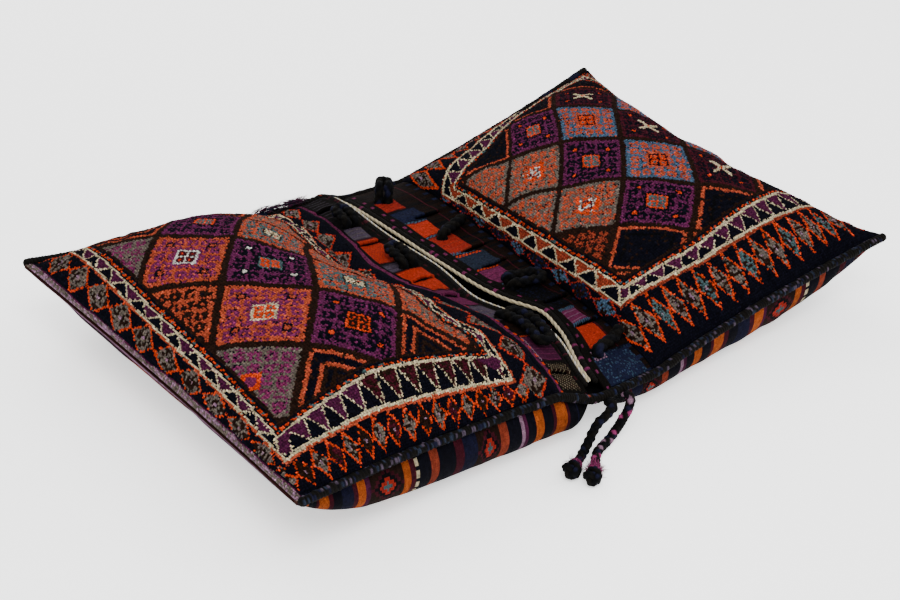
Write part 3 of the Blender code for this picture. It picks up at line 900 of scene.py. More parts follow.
class KnotPainter:
    """Works out the colour of every tuft of one pile face, from the field out to the borders."""

    def __init__(self, chart: Chart, pouch: Pouch, rows: int, columns: int) -> None:
        """Starts with a plain navy ground.

        Args:
            chart: the face's design.
            pouch: the pouch it belongs to.
            rows, columns: of tufts.
        """
        self.chart = chart
        self.left = pouch.left
        self.random = np.random.default_rng(chart.seed)
        self.s, self.t = grid_of((np.arange(rows) + 0.5) / rows, (np.arange(columns) + 0.5) / columns)
        self.colour = np.zeros((rows, columns, 3)) + Dye.NAVY.rgb

    def paint(self, where: Array, dye: Dye) -> None:
        """Colours the tufts where the mask is true."""
        self.colour[where] = dye.rgb

    def line(self, lines: dict[str, Line], side: str) -> Array:
        """Where a side's line runs, straight from point to point, read at every tuft.

        Args:
            lines: outer or inner.
            side: fold, mouth, near or far.

        Returns:
            A share of the length or the width for each tuft.
        """
        where, value = np.array(lines[side], float).T
        return np.interp(self.t if side in ("fold", "mouth") else self.s, where, value)

    def distances(self, lines: dict[str, Line]) -> dict[str, Array]:
        """How far inside each of the four lines every tuft is, in metres, by side."""
        length, width = self.chart.length, self.chart.width
        return {
            "fold": (self.s - self.line(lines, "fold")) * length,
            "mouth": (self.line(lines, "mouth") - self.s) * length,
            "near": (self.t - self.line(lines, "near")) * width,
            "far": (self.line(lines, "far") - self.t) * width,
        }

    def mottled(self, share: float) -> Array:
        """A mask that picks this share of the face, two by two tufts at a time."""
        noise = self.random.random([size // 2 + 1 for size in self.s.shape])
        noise = np.repeat(np.repeat(noise, 2, 0), 2, 1)[: self.s.shape[0], : self.s.shape[1]]
        return noise < share

    def place_in_field(self) -> Pair:
        """Lattice places, straight from point to point where the cloth stretches the lattice.

        Returns:
            a, which counts away from the field's first edge, and b, 0 at the far edge and 3 at the near one.
        """
        if self.left:
            stretched = (0.0, 0.152, 0.325, 0.488, 0.620, 0.76, 1.0)
            a = np.interp(self.s, stretched, (-0.45, 0.0, 0.5, 1.0, 1.5, 2.0, 2.9))
            return a, (0.907 - self.t) / 0.254
        a = (0.885 - self.s) / 0.31
        far = np.interp(a, (0.0, 0.5, 1.0, 1.5, 2.0), (0.755, 0.803, 0.857, 0.926, 0.937))
        near = np.interp(a, (0.0, 0.5, 1.0, 1.5, 2.0), (0.250, 0.236, 0.214, 0.185, 0.224))
        return a, 3 * (far - self.t) / (far - near)

    def paint_field(self) -> None:
        """The dark lattice and its diamonds, which lie where a + b and a - b are nearest whole numbers."""
        a, b = self.place_in_field()
        p, q = a + (b - 0.5), a - (b - 0.5)
        u, v = p - np.round(p), q - np.round(q)
        middle_a = (np.round(p) + np.round(q)) / 2
        middle_b = (np.round(p) - np.round(q)) / 2 + 0.5
        edge = DIAMOND - np.maximum(np.abs(u), np.abs(v))
        self.paint(np.ones_like(a, bool), Dye.BROWN)
        for key in {(float(x), float(y)) for x, y in zip(middle_a.ravel(), middle_b.ravel())}:
            inside = (middle_a == key[0]) & (middle_b == key[1]) & (edge > 0)
            medallion = self.chart.field.get(key)
            if medallion is None:
                self.paint_half(inside, edge)
            else:
                self.paint_medallion(inside, edge, u, v, medallion)

    def paint_half(self, inside: Array, edge: Array) -> None:
        """Nested chevrons in the half diamonds along the sides.

        Args:
            inside: the tufts of the diamond.
            edge: how far each lies from the diamond's edge.
        """
        for k, dye in enumerate(self.chart.halves):
            self.paint(inside & (edge > CHEVRON * k), dye)
        self.paint(inside & self.mottled(0.10), Dye.BROWN)

    def paint_medallion(self, inside: Array, edge: Array, u: Array, v: Array, medallion: Medallion) -> None:
        """Latch hooks: rings with a heart, open to one side and turned at every second step.

        Args:
            inside: the tufts of the diamond.
            edge: how far each lies from the diamond's edge.
            u, v: places from the diamond's middle along its two pairs of sides, from -0.5 to 0.5.
            medallion: its dyes and figures.
        """
        self.paint(inside, medallion.ground)
        steps = HOOKS_PER_STEP
        step_u, step_v = np.mod(u * steps + 0.5, 1) - 0.5, np.mod(v * steps + 0.5, 1) - 0.5
        ring = np.maximum(np.abs(step_u), np.abs(step_v))
        turned = np.mod(np.round(u * steps) + np.round(v * steps), 2) < 1
        opening = np.where(turned, (np.abs(step_v) < HOOK_MOUTH) & (step_u > 0),
                           (np.abs(step_u) < HOOK_MOUTH) & (step_v > 0))
        hook = ((ring > HOOK_RING) & ~opening) | (ring < HOOK_HEART)
        self.paint(inside & ((edge < DIAMOND_RIM) | hook), medallion.hooks)
        swap = inside & self.mottled(0.45 * medallion.heather)
        hooked = np.all(self.colour == medallion.hooks.rgb, -1)
        self.paint(swap & hooked, medallion.ground)
        self.paint(swap & ~hooked, medallion.hooks)
        self.paint(inside & (self.random.random(u.shape) < 0.06), Dye.NAVY)
        if medallion.dots:
            for place in ((0.27, 0.27), (-0.27, -0.27), (0.27, -0.27), (-0.27, 0.27)):
                away = np.maximum(np.abs(u - place[0]), np.abs(v - place[1]))
                self.paint(inside & (away < 0.055), Dye.NAVY)
                self.paint(inside & (away < 0.028), medallion.dots)
        self.paint_middle(inside, u, v, medallion)

    def paint_middle(self, inside: Array, u: Array, v: Array, medallion: Medallion) -> None:
        """The figure in the middle: nested squares, four spotted squares, a ragged flower or a cross.

        Args:
            inside: the tufts of the diamond.
            u, v: places along the diamond's sides.
            medallion: its dyes and figures.
        """
        reach = np.maximum(np.abs(u), np.abs(v))
        rim, fill = medallion.middle_rim, medallion.middle_fill
        if medallion.middle is Middle.SQUARES:
            self.paint(inside & (reach < 0.168), medallion.ground)
            self.paint(inside & (reach < 0.138), rim)
            beside = np.minimum(np.abs(u), np.abs(v))
            self.paint(inside & (beside > 0.011) & (reach < 0.112), fill)
            spot = np.maximum(np.abs(np.abs(u) - 0.062), np.abs(np.abs(v) - 0.062)) < 0.016
            self.paint(inside & spot, Dye.TEAL if fill is Dye.ORANGE else Dye.SCARLET)
        elif medallion.middle is Middle.FLOWER:
            self.paint(inside & (reach < 0.19) & self.mottled(0.60), rim)
            self.paint(inside & (reach < 0.13) & self.mottled(0.35), fill)
            self.paint(inside & (reach > 0.06) & (reach < 0.085), Dye.MAROON)
        elif medallion.middle is Middle.CROSS:
            self.paint(inside & (np.abs(np.abs(u) - np.abs(v)) < 0.040) & (reach < 0.16), rim)
            self.paint(inside & (reach < 0.03), fill)
        elif medallion.middle is Middle.SMALL:
            self.paint(inside & (reach < 0.11), rim)
            self.paint(inside & (reach < 0.06), medallion.ground)

    def paint_border(self) -> None:
        """The barber stripe, the triangles, the chains of lozenges and the cream lines between them."""
        outer, inner = self.distances(self.chart.outer), self.distances(self.chart.inner)
        sides = list(outer)
        nearest = np.argmin(np.stack(list(outer.values())), 0)
        nearest_inner = np.argmin(np.stack(list(inner.values())), 0)
        out = np.min(np.stack(list(outer.values())), 0)
        into = np.min(np.stack(list(inner.values())), 0)
        band = into < BAND
        self.paint_stripe(band & (into > 0), into, nearest_inner <= 1)
        for k, side in enumerate(sides):
            self.paint_side(side, (into <= 0) & (out > 0) & (nearest == k), (out <= 0) & (nearest == k))
        lengthways = (nearest == sides.index("near")) | (nearest == sides.index("far"))
        thick = np.where(lengthways, 0.0021, 0.0011)
        self.paint((np.abs(into) < thick) & band, Dye.CREAM)
        beyond = np.where(nearest == sides.index("near"), 0.0062, 0.0036)
        self.paint((out < 0) & (out > -beyond) & band, Dye.SALMON if self.left else Dye.RUST)
        self.paint((np.abs(out) < thick) & band, Dye.CREAM)
        if self.left:
            self.paint(self.s < 0.030, Dye.NAVY)
            self.paint(self.s < 0.022, Dye.TAUPE)
            self.paint((self.s < 0.022) & self.mottled(0.5), Dye.MAUVE)
            self.paint((self.s < 0.026) & (self.s > 0.020), Dye.PLUM)

    def paint_stripe(self, where: Array, into: Array, crosswise: Array) -> None:
        """A stripe along the field's edge whose colours change by its run plus its distance, so they slant.

        Args:
            where: the tufts of the band.
            into: how far inside the inner line each tuft is.
            crosswise: whether its nearest side is the fold or the mouth.
        """
        run = np.where(crosswise, self.t * self.chart.width, self.s * self.chart.length)
        self.paint(where, Dye.NAVY)
        stripe = where & (into > STRIPE[0]) & (into < STRIPE[1])
        self.paint(stripe, Dye.ORANGE)
        self.paint(stripe & (np.mod(run + into, 0.0085) < STRIPE_RUN), Dye.BROWN)
        self.paint(stripe & (np.mod(run + into, 0.0255) < STRIPE_RUN), Dye.TEAL)
        self.paint(where & (into > 0.0095), Dye.BROWN)

    def paint_side(self, side: str, between_lines: Array, outside: Array) -> None:
        """One side's triangles, which hang where the depth passes a zigzag along it, and its chain.

        Args:
            side: fold, mouth, near or far.
            between_lines: the tufts between its two cream lines.
            outside: the tufts outside the outer one.
        """
        lengthways = side in ("near", "far")
        place, at = (self.s, self.t) if lengthways else (self.t, self.s)
        line, inner_line = self.line(self.chart.outer, side), self.line(self.chart.inner, side)
        depth = (at - line) / (inner_line - line)
        zigzag = np.abs(2 * np.mod(place * self.chart.triangle_counts[lengthways], 1) - 1)
        self.paint(between_lines, Dye.NAVY)
        hanging = between_lines & (depth > zigzag)
        self.paint(hanging, Dye.RUST if side == "mouth" and not self.left else Dye.PLUM)
        if self.left and side == "near":
            self.paint(hanging & (self.s > 0.36), Dye.MAROON)
            self.paint(hanging & (self.s > 0.36) & self.mottled(0.45), Dye.BROWN)
        slope = np.abs(depth - zigzag) < (0.060 if lengthways else 0.090)
        self.paint(between_lines & slope, Dye.CREAM)
        from_edge = at / line if side in ("fold", "near") else (1 - at) / (1 - line)
        self.paint_chain(self.chart.borders[side], outside, place, from_edge)

    def paint_chain(self, border: Border, where: Array, place: Array, depth: Array) -> None:
        """Lozenges: the share from the nearest middle along the band plus the one across it stays under 1.

        Args:
            border: the chain's counts and dyes.
            where: the tufts of the band.
            place: share of the way along the band.
            depth: from 0 at the cloth's edge to 1 at the cream line.
        """
        self.paint(where, Dye.NAVY)
        at = place * border.count
        size = np.abs(np.mod(at, 1) - 0.5) * 2 + np.abs(depth - border.middle) / border.reach
        number = np.floor(at).astype(int)
        self.paint(where & (size < 1.01) & self.mottled(0.86), border.rim)
        for k, fill in enumerate(border.fill):
            self.paint(where & (size < border.outline) & (np.mod(number, len(border.fill)) == k), fill)
        self.paint(where & (size < border.outline) & self.mottled(0.42), Dye.BROWN)
        self.paint(where & (size < 0.15) & self.mottled(0.55), border.dot)

    def painted(self) -> Array:
        """Every tuft's colour, with the dye's strength and warmth uneven from tuft to tuft."""
        self.paint_field()
        self.paint_border()
        strength = np.exp(self.random.normal(0, 0.30, self.s.shape))
        warmth = self.random.normal(0, 0.05, (*self.s.shape, 3))
        return np.clip(self.colour * strength[..., None] * (1 + warmth), 0, 1)


@dataclass(frozen=True)
class PileFace:
    """A pile-knotted face. Every cell is a tuft of its own colour, and four of them rise as one knot.

    relief is the knots' height and shade their painted shade, dark in the grooves, with a painted highlight on the
    tips; each holds values for the grooves, the slopes and the tips. lumps are (height, cells across) of wider
    unevenness, and stray is how far tufts lean along and across, in cells.
    """

    pouch: Pouch
    chart: Chart
    relief: tuple[float, float, float] = (-0.0006, 0.0001, 0.0007)
    # Painted shade in the grooves and on the slopes, and a painted highlight on the tips.
    shade: tuple[float, float, float] = (0.42, 0.85, 1.20)
    lumps: tuple[tuple[float, int], ...] = ((0.0007, 9), (0.0018, 31))
    stray: Pair = (0.30, 0.34)

    def build(self, material: Material) -> Piece:
        """Raises the face's grid along its normals by the knots' relief, and dyes it tuft by tuft, with painted shade
        on the knots.

        Args:
            material: wool pile.

        Returns:
            The object.
        """
        rows, columns = (4 * round(size / KNOT / 2) for size in (self.chart.length, self.chart.width))
        knots = KnotPainter(self.chart, self.pouch, rows, columns).painted()
        random = np.random.default_rng(self.chart.seed + 100)
        points, _, _ = self.pouch.even_grid(self.pouch.upper, rows, columns)
        flip = not faces_up(points)
        i, j = corners_of(rows, columns)
        odd = (i % 2) + (j % 2)
        relief = np.choose(odd, self.relief) + random.normal(0, 0.00028, odd.shape)
        for height, scale in self.lumps:
            relief = relief + height * rough(random, rows + 1, columns + 1, scale)
        relief = relief * inward(rows, columns, 3)
        points = points + grid_normals(points) * (-1 if flip else 1) * relief[..., None]
        # Painted shade and highlight by each point's place on its knot, times an unevenness of tone at random.
        shade = np.choose(odd, self.shade) * np.exp(random.normal(0, 0.10, odd.shape))
        ci, cj = grid_of(np.arange(rows) + 0.5, np.arange(columns) + 0.5)
        ki = np.clip((ci + random.normal(0, self.stray[0], ci.shape)).astype(int), 0, rows - 1)
        kj = np.clip((cj + random.normal(0, self.stray[1], cj.shape)).astype(int), 0, columns - 1)
        obj = thick_cloth(f"{self.pouch.name}_pile_face", points, PILE_WALL, knots[ki, kj], shade,
                          np.stack([i / 2, j / 2], -1), flip, material)
        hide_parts(f"{self.pouch.name}_face")
        return obj


class Weave(Enum):
    """How a block of tapestry is worked."""

    PLAIN = 0
    STRIPED = 1
    BASKET = 2
    FLECKED = 3


@dataclass(frozen=True)
class Block:
    """A block of slit tapestry, from low to high across the width and from start to end along the panel."""

    low: float
    high: float
    start: float
    end: float
    dye: Dye
    second: Dye = Dye.COAL
    weave: Weave = Weave.PLAIN

    def covers(self, along: Array, across: Array) -> Array:
        """Which of the panel's cells are in the block."""
        return (across > self.low) & (across < self.high) & (along > self.start) & (along < self.end)

    def seconds(self, row: Array, column: Array, random: Random) -> Array:
        """Which cells have the second dye: every fifth warp, a slanting basket of threes, or flecks by chance.

        Args:
            row, column: each cell's row and column.
            random: where the flecks come from.

        Returns:
            A mask over the whole panel.
        """
        if self.weave is Weave.STRIPED:
            return np.mod(column, 5) == 0
        if self.weave is Weave.BASKET:
            return (np.mod(row, 2) == 0) & (np.mod(column + row // 2, 3) == 0)
        if self.weave is Weave.FLECKED:
            return random.random(row.shape) < 0.16
        return np.zeros(row.shape, bool)


@dataclass(frozen=True)
class Slit:
    """A plain slit of the panel at an (along, across) place."""

    along: float
    across: float
    length: float
    width: float = 0.003


# Thickness of a doubled loop's strand and of a single braid, the air below them, and room in their slits.
LOOP_STRAND = 0.013
LOOP_BRAID = 0.015
LOOP_PLAY = 0.0005
SLIT_ROOM = 0.0009


def smooth_route(points: Array | tuple[Point, ...], spacing: float) -> Array:
    """A smooth curve through a route's own points, cubic in the run along them.

    Args:
        points: of the route.
        spacing: about how far apart the new points are.

    Returns:
        The new points.
    """
    points = np.array(points, float)
    run = run_of(points)
    at = np.linspace(0, run[-1], max(int(round(run[-1] / spacing)), 4) + 1)
    return np.stack([through(np.stack([run, points[:, k]], 1), at) for k in range(3)], -1)


@dataclass(frozen=True)
class Loop:
    """A braid that comes up through a slit and lies on the panel, single or doubled back on itself.

    route holds (along, across) places on the cloth from the slit on. spread is how far apart the two halves of a
    doubled one lie, and lift how far it arches over the cloth.
    """

    name: str
    pouch: Pouch
    route: Line
    spread: float = 0.0
    lift: float = 0.0

    @property
    def radius(self) -> float:
        """Half the braid's thickness."""
        return (LOOP_STRAND if self.spread else LOOP_BRAID) / 2

    def spine(self) -> Array:
        """The middle of the braid: up from the back through the slit, over, and along the panel."""
        x, y, panel = self.pouch.point(*self.route[0])
        floor = self.pouch.underside(*np.array(self.route[0]))[2] + FLAT_WALL
        spine = [(x, y, floor + 0.003), (x, y, panel - FLAT_WALL / 2), (x, y, panel + self.radius)]
        reach = self.radius / SIDE_EDGE * np.array([-1, 0, 1])
        for k, (along, across) in enumerate(self.route[1:], 1):
            x, y, _ = self.pouch.point(along, across)
            top = self.pouch.upper(*grid_of(along + reach * 3, across + reach))[..., 2].max()
            arch = self.lift * math.sin(math.pi * k / len(self.route))
            spine.append((x, y, top + self.radius + LOOP_PLAY + arch))
        return np.array(spine)

    def centreline(self) -> Array:
        """The whole braid's centreline: the spine once, or out and back along it with a half circle for its tip."""
        spine = self.spine()
        route = smooth_route(spine, 0.004)
        if not self.spread:
            return route
        ahead = unit((spine[-1] - spine[0]) * (1, 1, 0)) * self.spread / 2
        aside = np.array([-ahead[1], ahead[0], 0])
        turn = np.linspace(0, math.pi, 9)[1:-1, None]
        tip = route[-1] + aside * np.cos(turn) + ahead * np.sin(turn)
        return np.concatenate([route + aside, tip, route[::-1] - aside])


LOOPS = (
    Loop("left_loop_far", LEFT, ((1.52, 0.59), (1.52, 0.64), (1.52, 0.69)), 0.016, 0.006),
    Loop("left_loop_middle", LEFT, ((1.58, 0.13), (1.60, 0.18), (1.64, 0.25)), 0.016, 0.006),
    Loop("left_loop_near", LEFT, ((1.54, -0.45), (1.58, -0.53), (1.60, -0.62), (1.58, -0.70)), 0.018, 0.006),
    Loop("right_loop_upright", RIGHT, ((1.72, 0.78), (1.68, 0.80), (1.60, 0.84)), 0.014, 0.018),
    Loop("right_loop_far", RIGHT, ((1.69, 0.31), (1.50, 0.34), (1.29, 0.37), (1.10, 0.40))),
    Loop("right_loop_middle", RIGHT, ((1.74, -0.19), (1.60, -0.21), (1.44, -0.22), (1.29, -0.23)), 0.020, 0.002),
    Loop("right_loop_near", RIGHT, ((1.73, -0.83), (1.51, -0.81), (1.28, -0.80), (1.07, -0.78))),
)


@dataclass(frozen=True)
class ClosurePanel:
    """The closure panel: slit tapestry that carries on from the pile, with its slits left open.

    depth is its cut from the pile to the free edge, and is not used. rows and columns are its cells, and step how far
    each reaches in the weave's UV. trims are (low, high, start, end, dye) lines of stitches, and rope is the dye of
    the twined edge.
    """

    pouch: Pouch
    seed: int
    depth: float
    ground: Array
    rope: Dye
    blocks: tuple[Block, ...]
    slits: tuple[Slit, ...]
    trims: tuple[tuple[float, float, float, float, Dye], ...]
    rows: int = 44
    columns: int = 280
    step: float = 0.9
    wall: float = FLAT_WALL - 0.0012

    def stripes(self, colour: Array, along: Array, across: Array, column: Array,
                random: Random) -> None:
        """Colours the cells beside the pile, before the blocks begin.

        Args:
            colour: of every cell; it is changed.
            along, across: each cell's place.
            column: each cell's column.
            random: for the stripe's two dyes.
        """
        if self.pouch.left:
            colour[along < 1.13] = Dye.NAVY.rgb
            stripe = (along > 1.045) & (along < 1.14)
            colour[stripe] = Dye.MAGENTA.rgb
            colour[stripe & (random.random(along.shape) < 0.30)] = Dye.PLUM.rgb
            colour[(along > 1.14) & (along < 1.17)] = Dye.COAL.rgb
            dotted = (along > 1.12) & (along < 1.19) & (across < -0.25)
            colour[dotted & (np.mod(column, 8) < 3)] = Dye.ORANGE.rgb
        else:
            colour[(along < 1.10) & (np.mod(column, 11) < 3)] = Dye.INDIGO.rgb
            colour[(along > 1.22) & (along < 1.25)] = Dye.MAROON.rgb

    def colours(self, along: Array, across: Array, random: Random) -> Array:
        """The colour of every cell: the ground, the stripes, the blocks with dark edges, the trims and the rope.

        Args:
            along, across: each cell's place.
            random: for streaks, flecks and the dye's unevenness.

        Returns:
            A colour for each cell.
        """
        shape = along.shape
        colour = np.zeros((*shape, 3)) + self.ground
        row, column = grid_of(np.arange(shape[0]), np.arange(shape[1]))
        colour[random.random(shape[1])[None] * np.ones(shape) < 0.25] = Dye.COAL.rgb
        self.stripes(colour, along, across, column, random)
        for block in self.blocks:
            inside = block.covers(along, across)
            colour[inside] = block.dye.rgb
            colour[inside & block.seconds(row, column, random)] = 0.5 * block.dye.rgb + 0.5 * block.second.rgb
            side = inside & ((np.abs(across - block.low) < 0.008) | (np.abs(across - block.high) < 0.008))
            colour[side] = colour[side] * 0.35
        for *place, dye in self.trims:
            colour[Block(*place, dye).covers(along, across) & (np.mod(row + column, 3) > 0)] = dye.rgb
        colour[along > 1.86] = Dye.GOAT.rgb
        twined = (along > 1.90) & (along < 1.96) & (np.mod(column + 3 * np.mod(column // 23, 3), 13) < 3)
        colour[twined] = self.rope.rgb
        strength = np.exp(random.normal(0, 0.16, shape))[..., None]
        return np.clip(colour * strength * (1 + random.normal(0, 0.04, (*shape, 3))), 0, 1)

    def openings(self, centre: Array) -> Array:
        """The cells left open: a box for each plain slit, and an ellipse along the heading of each braid.

        Args:
            centre: the middle of each cell.

        Returns:
            A mask over the cells.
        """
        opened = np.zeros(centre.shape[:2], bool)
        for slit in self.slits:
            away = np.abs(centre - self.pouch.point(slit.along, slit.across))
            opened |= (away[..., 0] < slit.length / 2) & (away[..., 1] < slit.width / 2)
        for loop in self.loops():
            spine = loop.spine()
            ahead = unit((spine[-1] - spine[0])[:2])
            offset = centre[..., :2] - spine[1, :2]
            half = loop.radius + SLIT_ROOM
            aside = offset @ np.array([-ahead[1], ahead[0]]) / (half + loop.spread / 2)
            opened |= aside**2 + (offset @ ahead / half) ** 2 < 1
        return opened

    def puffed(self, points: Array, puff: Array) -> Array:
        """Adds how the cloth stands up on one side of a slit, and round a braid, as bell curves.

        Args:
            points: the panel's grid.
            puff: its height so far.

        Returns:
            The new height.
        """
        for slit in self.slits:
            at = self.pouch.point(slit.along, slit.across)
            away = np.hypot((points[..., 0] - at[0]) / 0.024, (points[..., 1] - at[1]) / 0.010)
            puff = puff + 0.0026 * np.exp(-(away**2)) * np.sign(points[..., 1] - at[1] + 1e-6)
        for loop in self.loops():
            away = np.linalg.norm(points[..., :2] - loop.spine()[1, :2], axis=-1) / 0.018
            puff = puff + 0.0022 * np.exp(-(away**2))
        return puff

    def loops(self) -> list[Loop]:
        """The braids that come up through this panel."""
        return [loop for loop in LOOPS if loop.pouch is self.pouch]

    def build(self, material: Material) -> Piece:
        """One sheet of cells without the open ones, raised by its puckers, with a live wall behind it.

        Args:
            material: flat weave.

        Returns:
            The object.
        """
        random = np.random.default_rng(self.seed)
        points, along, across = self.pouch.even_grid(self.pouch.upper, self.rows, self.columns, 1.0, 2.0)
        normal = grid_normals(points)
        normal = normal * np.where(normal[..., 2:] < 0, -1, 1)
        along, across, centre = ((grid[:-1, :-1] + grid[1:, 1:]) / 2 for grid in (along, across, points))
        kept = ~self.openings(centre).reshape(-1)
        puff = self.puffed(points, 0.0009 * rough(random, self.rows + 1, self.columns + 1, 10))
        points = points + normal * (puff * inward(self.rows, self.columns, 4))[..., None]
        quads = grid_quads(self.rows, self.columns, not faces_up(points))[kept]
        colours = self.colours(along, across, random).reshape(-1, 3)
        used, index = np.unique(quads, return_inverse=True)
        obj = linked(f"{self.pouch.name}_closure_panel", points.reshape(-1, 3)[used], index.reshape(-1, 4))
        i, j = corners_of(self.rows, self.columns)
        uv = np.stack([i * self.step, j * self.step], -1).reshape(-1, 2)
        dress(obj, np.repeat(colours[kept], 4, 0), uv[quads].reshape(-1, 2), material)
        wall = obj.modifiers.new("thickness", "SOLIDIFY")
        wall.thickness = self.wall
        wall.offset = -1
        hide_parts(f"{self.pouch.name}_face")
        return obj


LEFT_PANEL = ClosurePanel(
    pouch=LEFT,
    seed=31,
    depth=0.065,
    ground=Dye.GOAT.rgb,
    rope=Dye.MAROON,
    blocks=(
        Block(0.72, 1.00, 1.20, 1.80, Dye.GOAT, Dye.VIOLET, Weave.STRIPED),
        Block(0.455, 0.58, 1.20, 1.72, Dye.VIOLET, Dye.TAUPE, Weave.STRIPED),
        Block(0.21, 0.445, 1.20, 1.78, Dye.SCARLET, Dye.MAROON, Weave.BASKET),
        Block(0.115, 0.20, 1.18, 1.60, Dye.VIOLET, Dye.COAL, Weave.STRIPED),
        Block(-0.115, 0.11, 1.20, 1.80, Dye.SCARLET, Dye.RED, Weave.BASKET),
        Block(-0.29, -0.12, 1.16, 1.86, Dye.MAGENTA, Dye.PLUM, Weave.STRIPED),
        Block(-0.49, -0.295, 1.16, 1.80, Dye.VIOLET, Dye.TAUPE, Weave.STRIPED),
        Block(-0.61, -0.50, 1.20, 1.85, Dye.BROWN, Dye.COAL, Weave.STRIPED),
        Block(-0.81, -0.63, 1.18, 1.84, Dye.PLUM, Dye.MAGENTA, Weave.STRIPED),
        Block(-0.98, -0.825, 1.22, 1.88, Dye.BROWN, Dye.CREAM, Weave.BASKET),
    ),
    slits=(
        Slit(1.50, -0.88, 0.028), Slit(1.50, -0.17, 0.024), Slit(1.50, 0.01, 0.034), Slit(1.50, 0.41, 0.034),
        Slit(1.50, 0.82, 0.028),
    ),
    trims=(
        (-0.632, -0.620, 1.18, 1.84, Dye.ORANGE), (-0.81, -0.63, 1.16, 1.20, Dye.MAUVE),
        (0.445, 0.455, 1.20, 1.75, Dye.MAROON),
    ),
)

RIGHT_PANEL = ClosurePanel(
    pouch=RIGHT,
    seed=37,
    depth=0.090,
    ground=Dye.BROWN.rgb * 0.6,
    rope=Dye.MAGENTA,
    blocks=(
        Block(0.67, 0.79, 1.55, 1.86, Dye.RED, Dye.COAL, Weave.BASKET),
        Block(0.53, 0.66, 1.45, 1.86, Dye.INDIGO, Dye.COAL, Weave.FLECKED),
        Block(0.36, 0.515, 1.52, 1.88, Dye.SCARLET),
        Block(0.165, 0.345, 1.45, 1.86, Dye.RED, Dye.RUST, Weave.STRIPED),
        Block(-0.01, 0.15, 1.35, 1.90, Dye.DENIM, Dye.COAL, Weave.FLECKED),
        Block(-0.17, -0.02, 1.42, 1.90, Dye.MAGENTA, Dye.PLUM, Weave.STRIPED),
        Block(-0.47, -0.24, 1.30, 1.90, Dye.COAL, Dye.INDIGO, Weave.FLECKED),
        Block(-0.61, -0.49, 1.30, 1.80, Dye.MAGENTA, Dye.MAUVE, Weave.STRIPED),
        Block(-0.79, -0.62, 1.28, 1.80, Dye.SCARLET, Dye.RED, Weave.BASKET),
        Block(-1.00, -0.83, 1.10, 1.90, Dye.INDIGO, Dye.STEEL, Weave.FLECKED),
    ),
    slits=(
        Slit(1.39, -0.62, 0.044), Slit(1.46, -0.40, 0.044), Slit(1.48, 0.00, 0.044), Slit(1.44, 0.17, 0.044),
        Slit(1.43, 0.55, 0.044),
    ),
    trims=(
        (0.345, 0.360, 1.50, 1.88, Dye.STEEL), (0.515, 0.530, 1.50, 1.88, Dye.STEEL),
        (0.155, 0.175, 1.40, 1.88, Dye.STEEL), (0.130, 0.150, 1.38, 1.86, Dye.ORANGE),
        (-0.020, -0.005, 1.40, 1.90, Dye.ORANGE), (-0.190, -0.175, 1.40, 1.90, Dye.STEEL),
        (-0.500, -0.480, 1.28, 1.82, Dye.STEEL), (-0.620, -0.600, 1.28, 1.82, Dye.STEEL),
        (-0.86, -0.80, 1.60, 1.85, Dye.MAUVE),
    ),
)


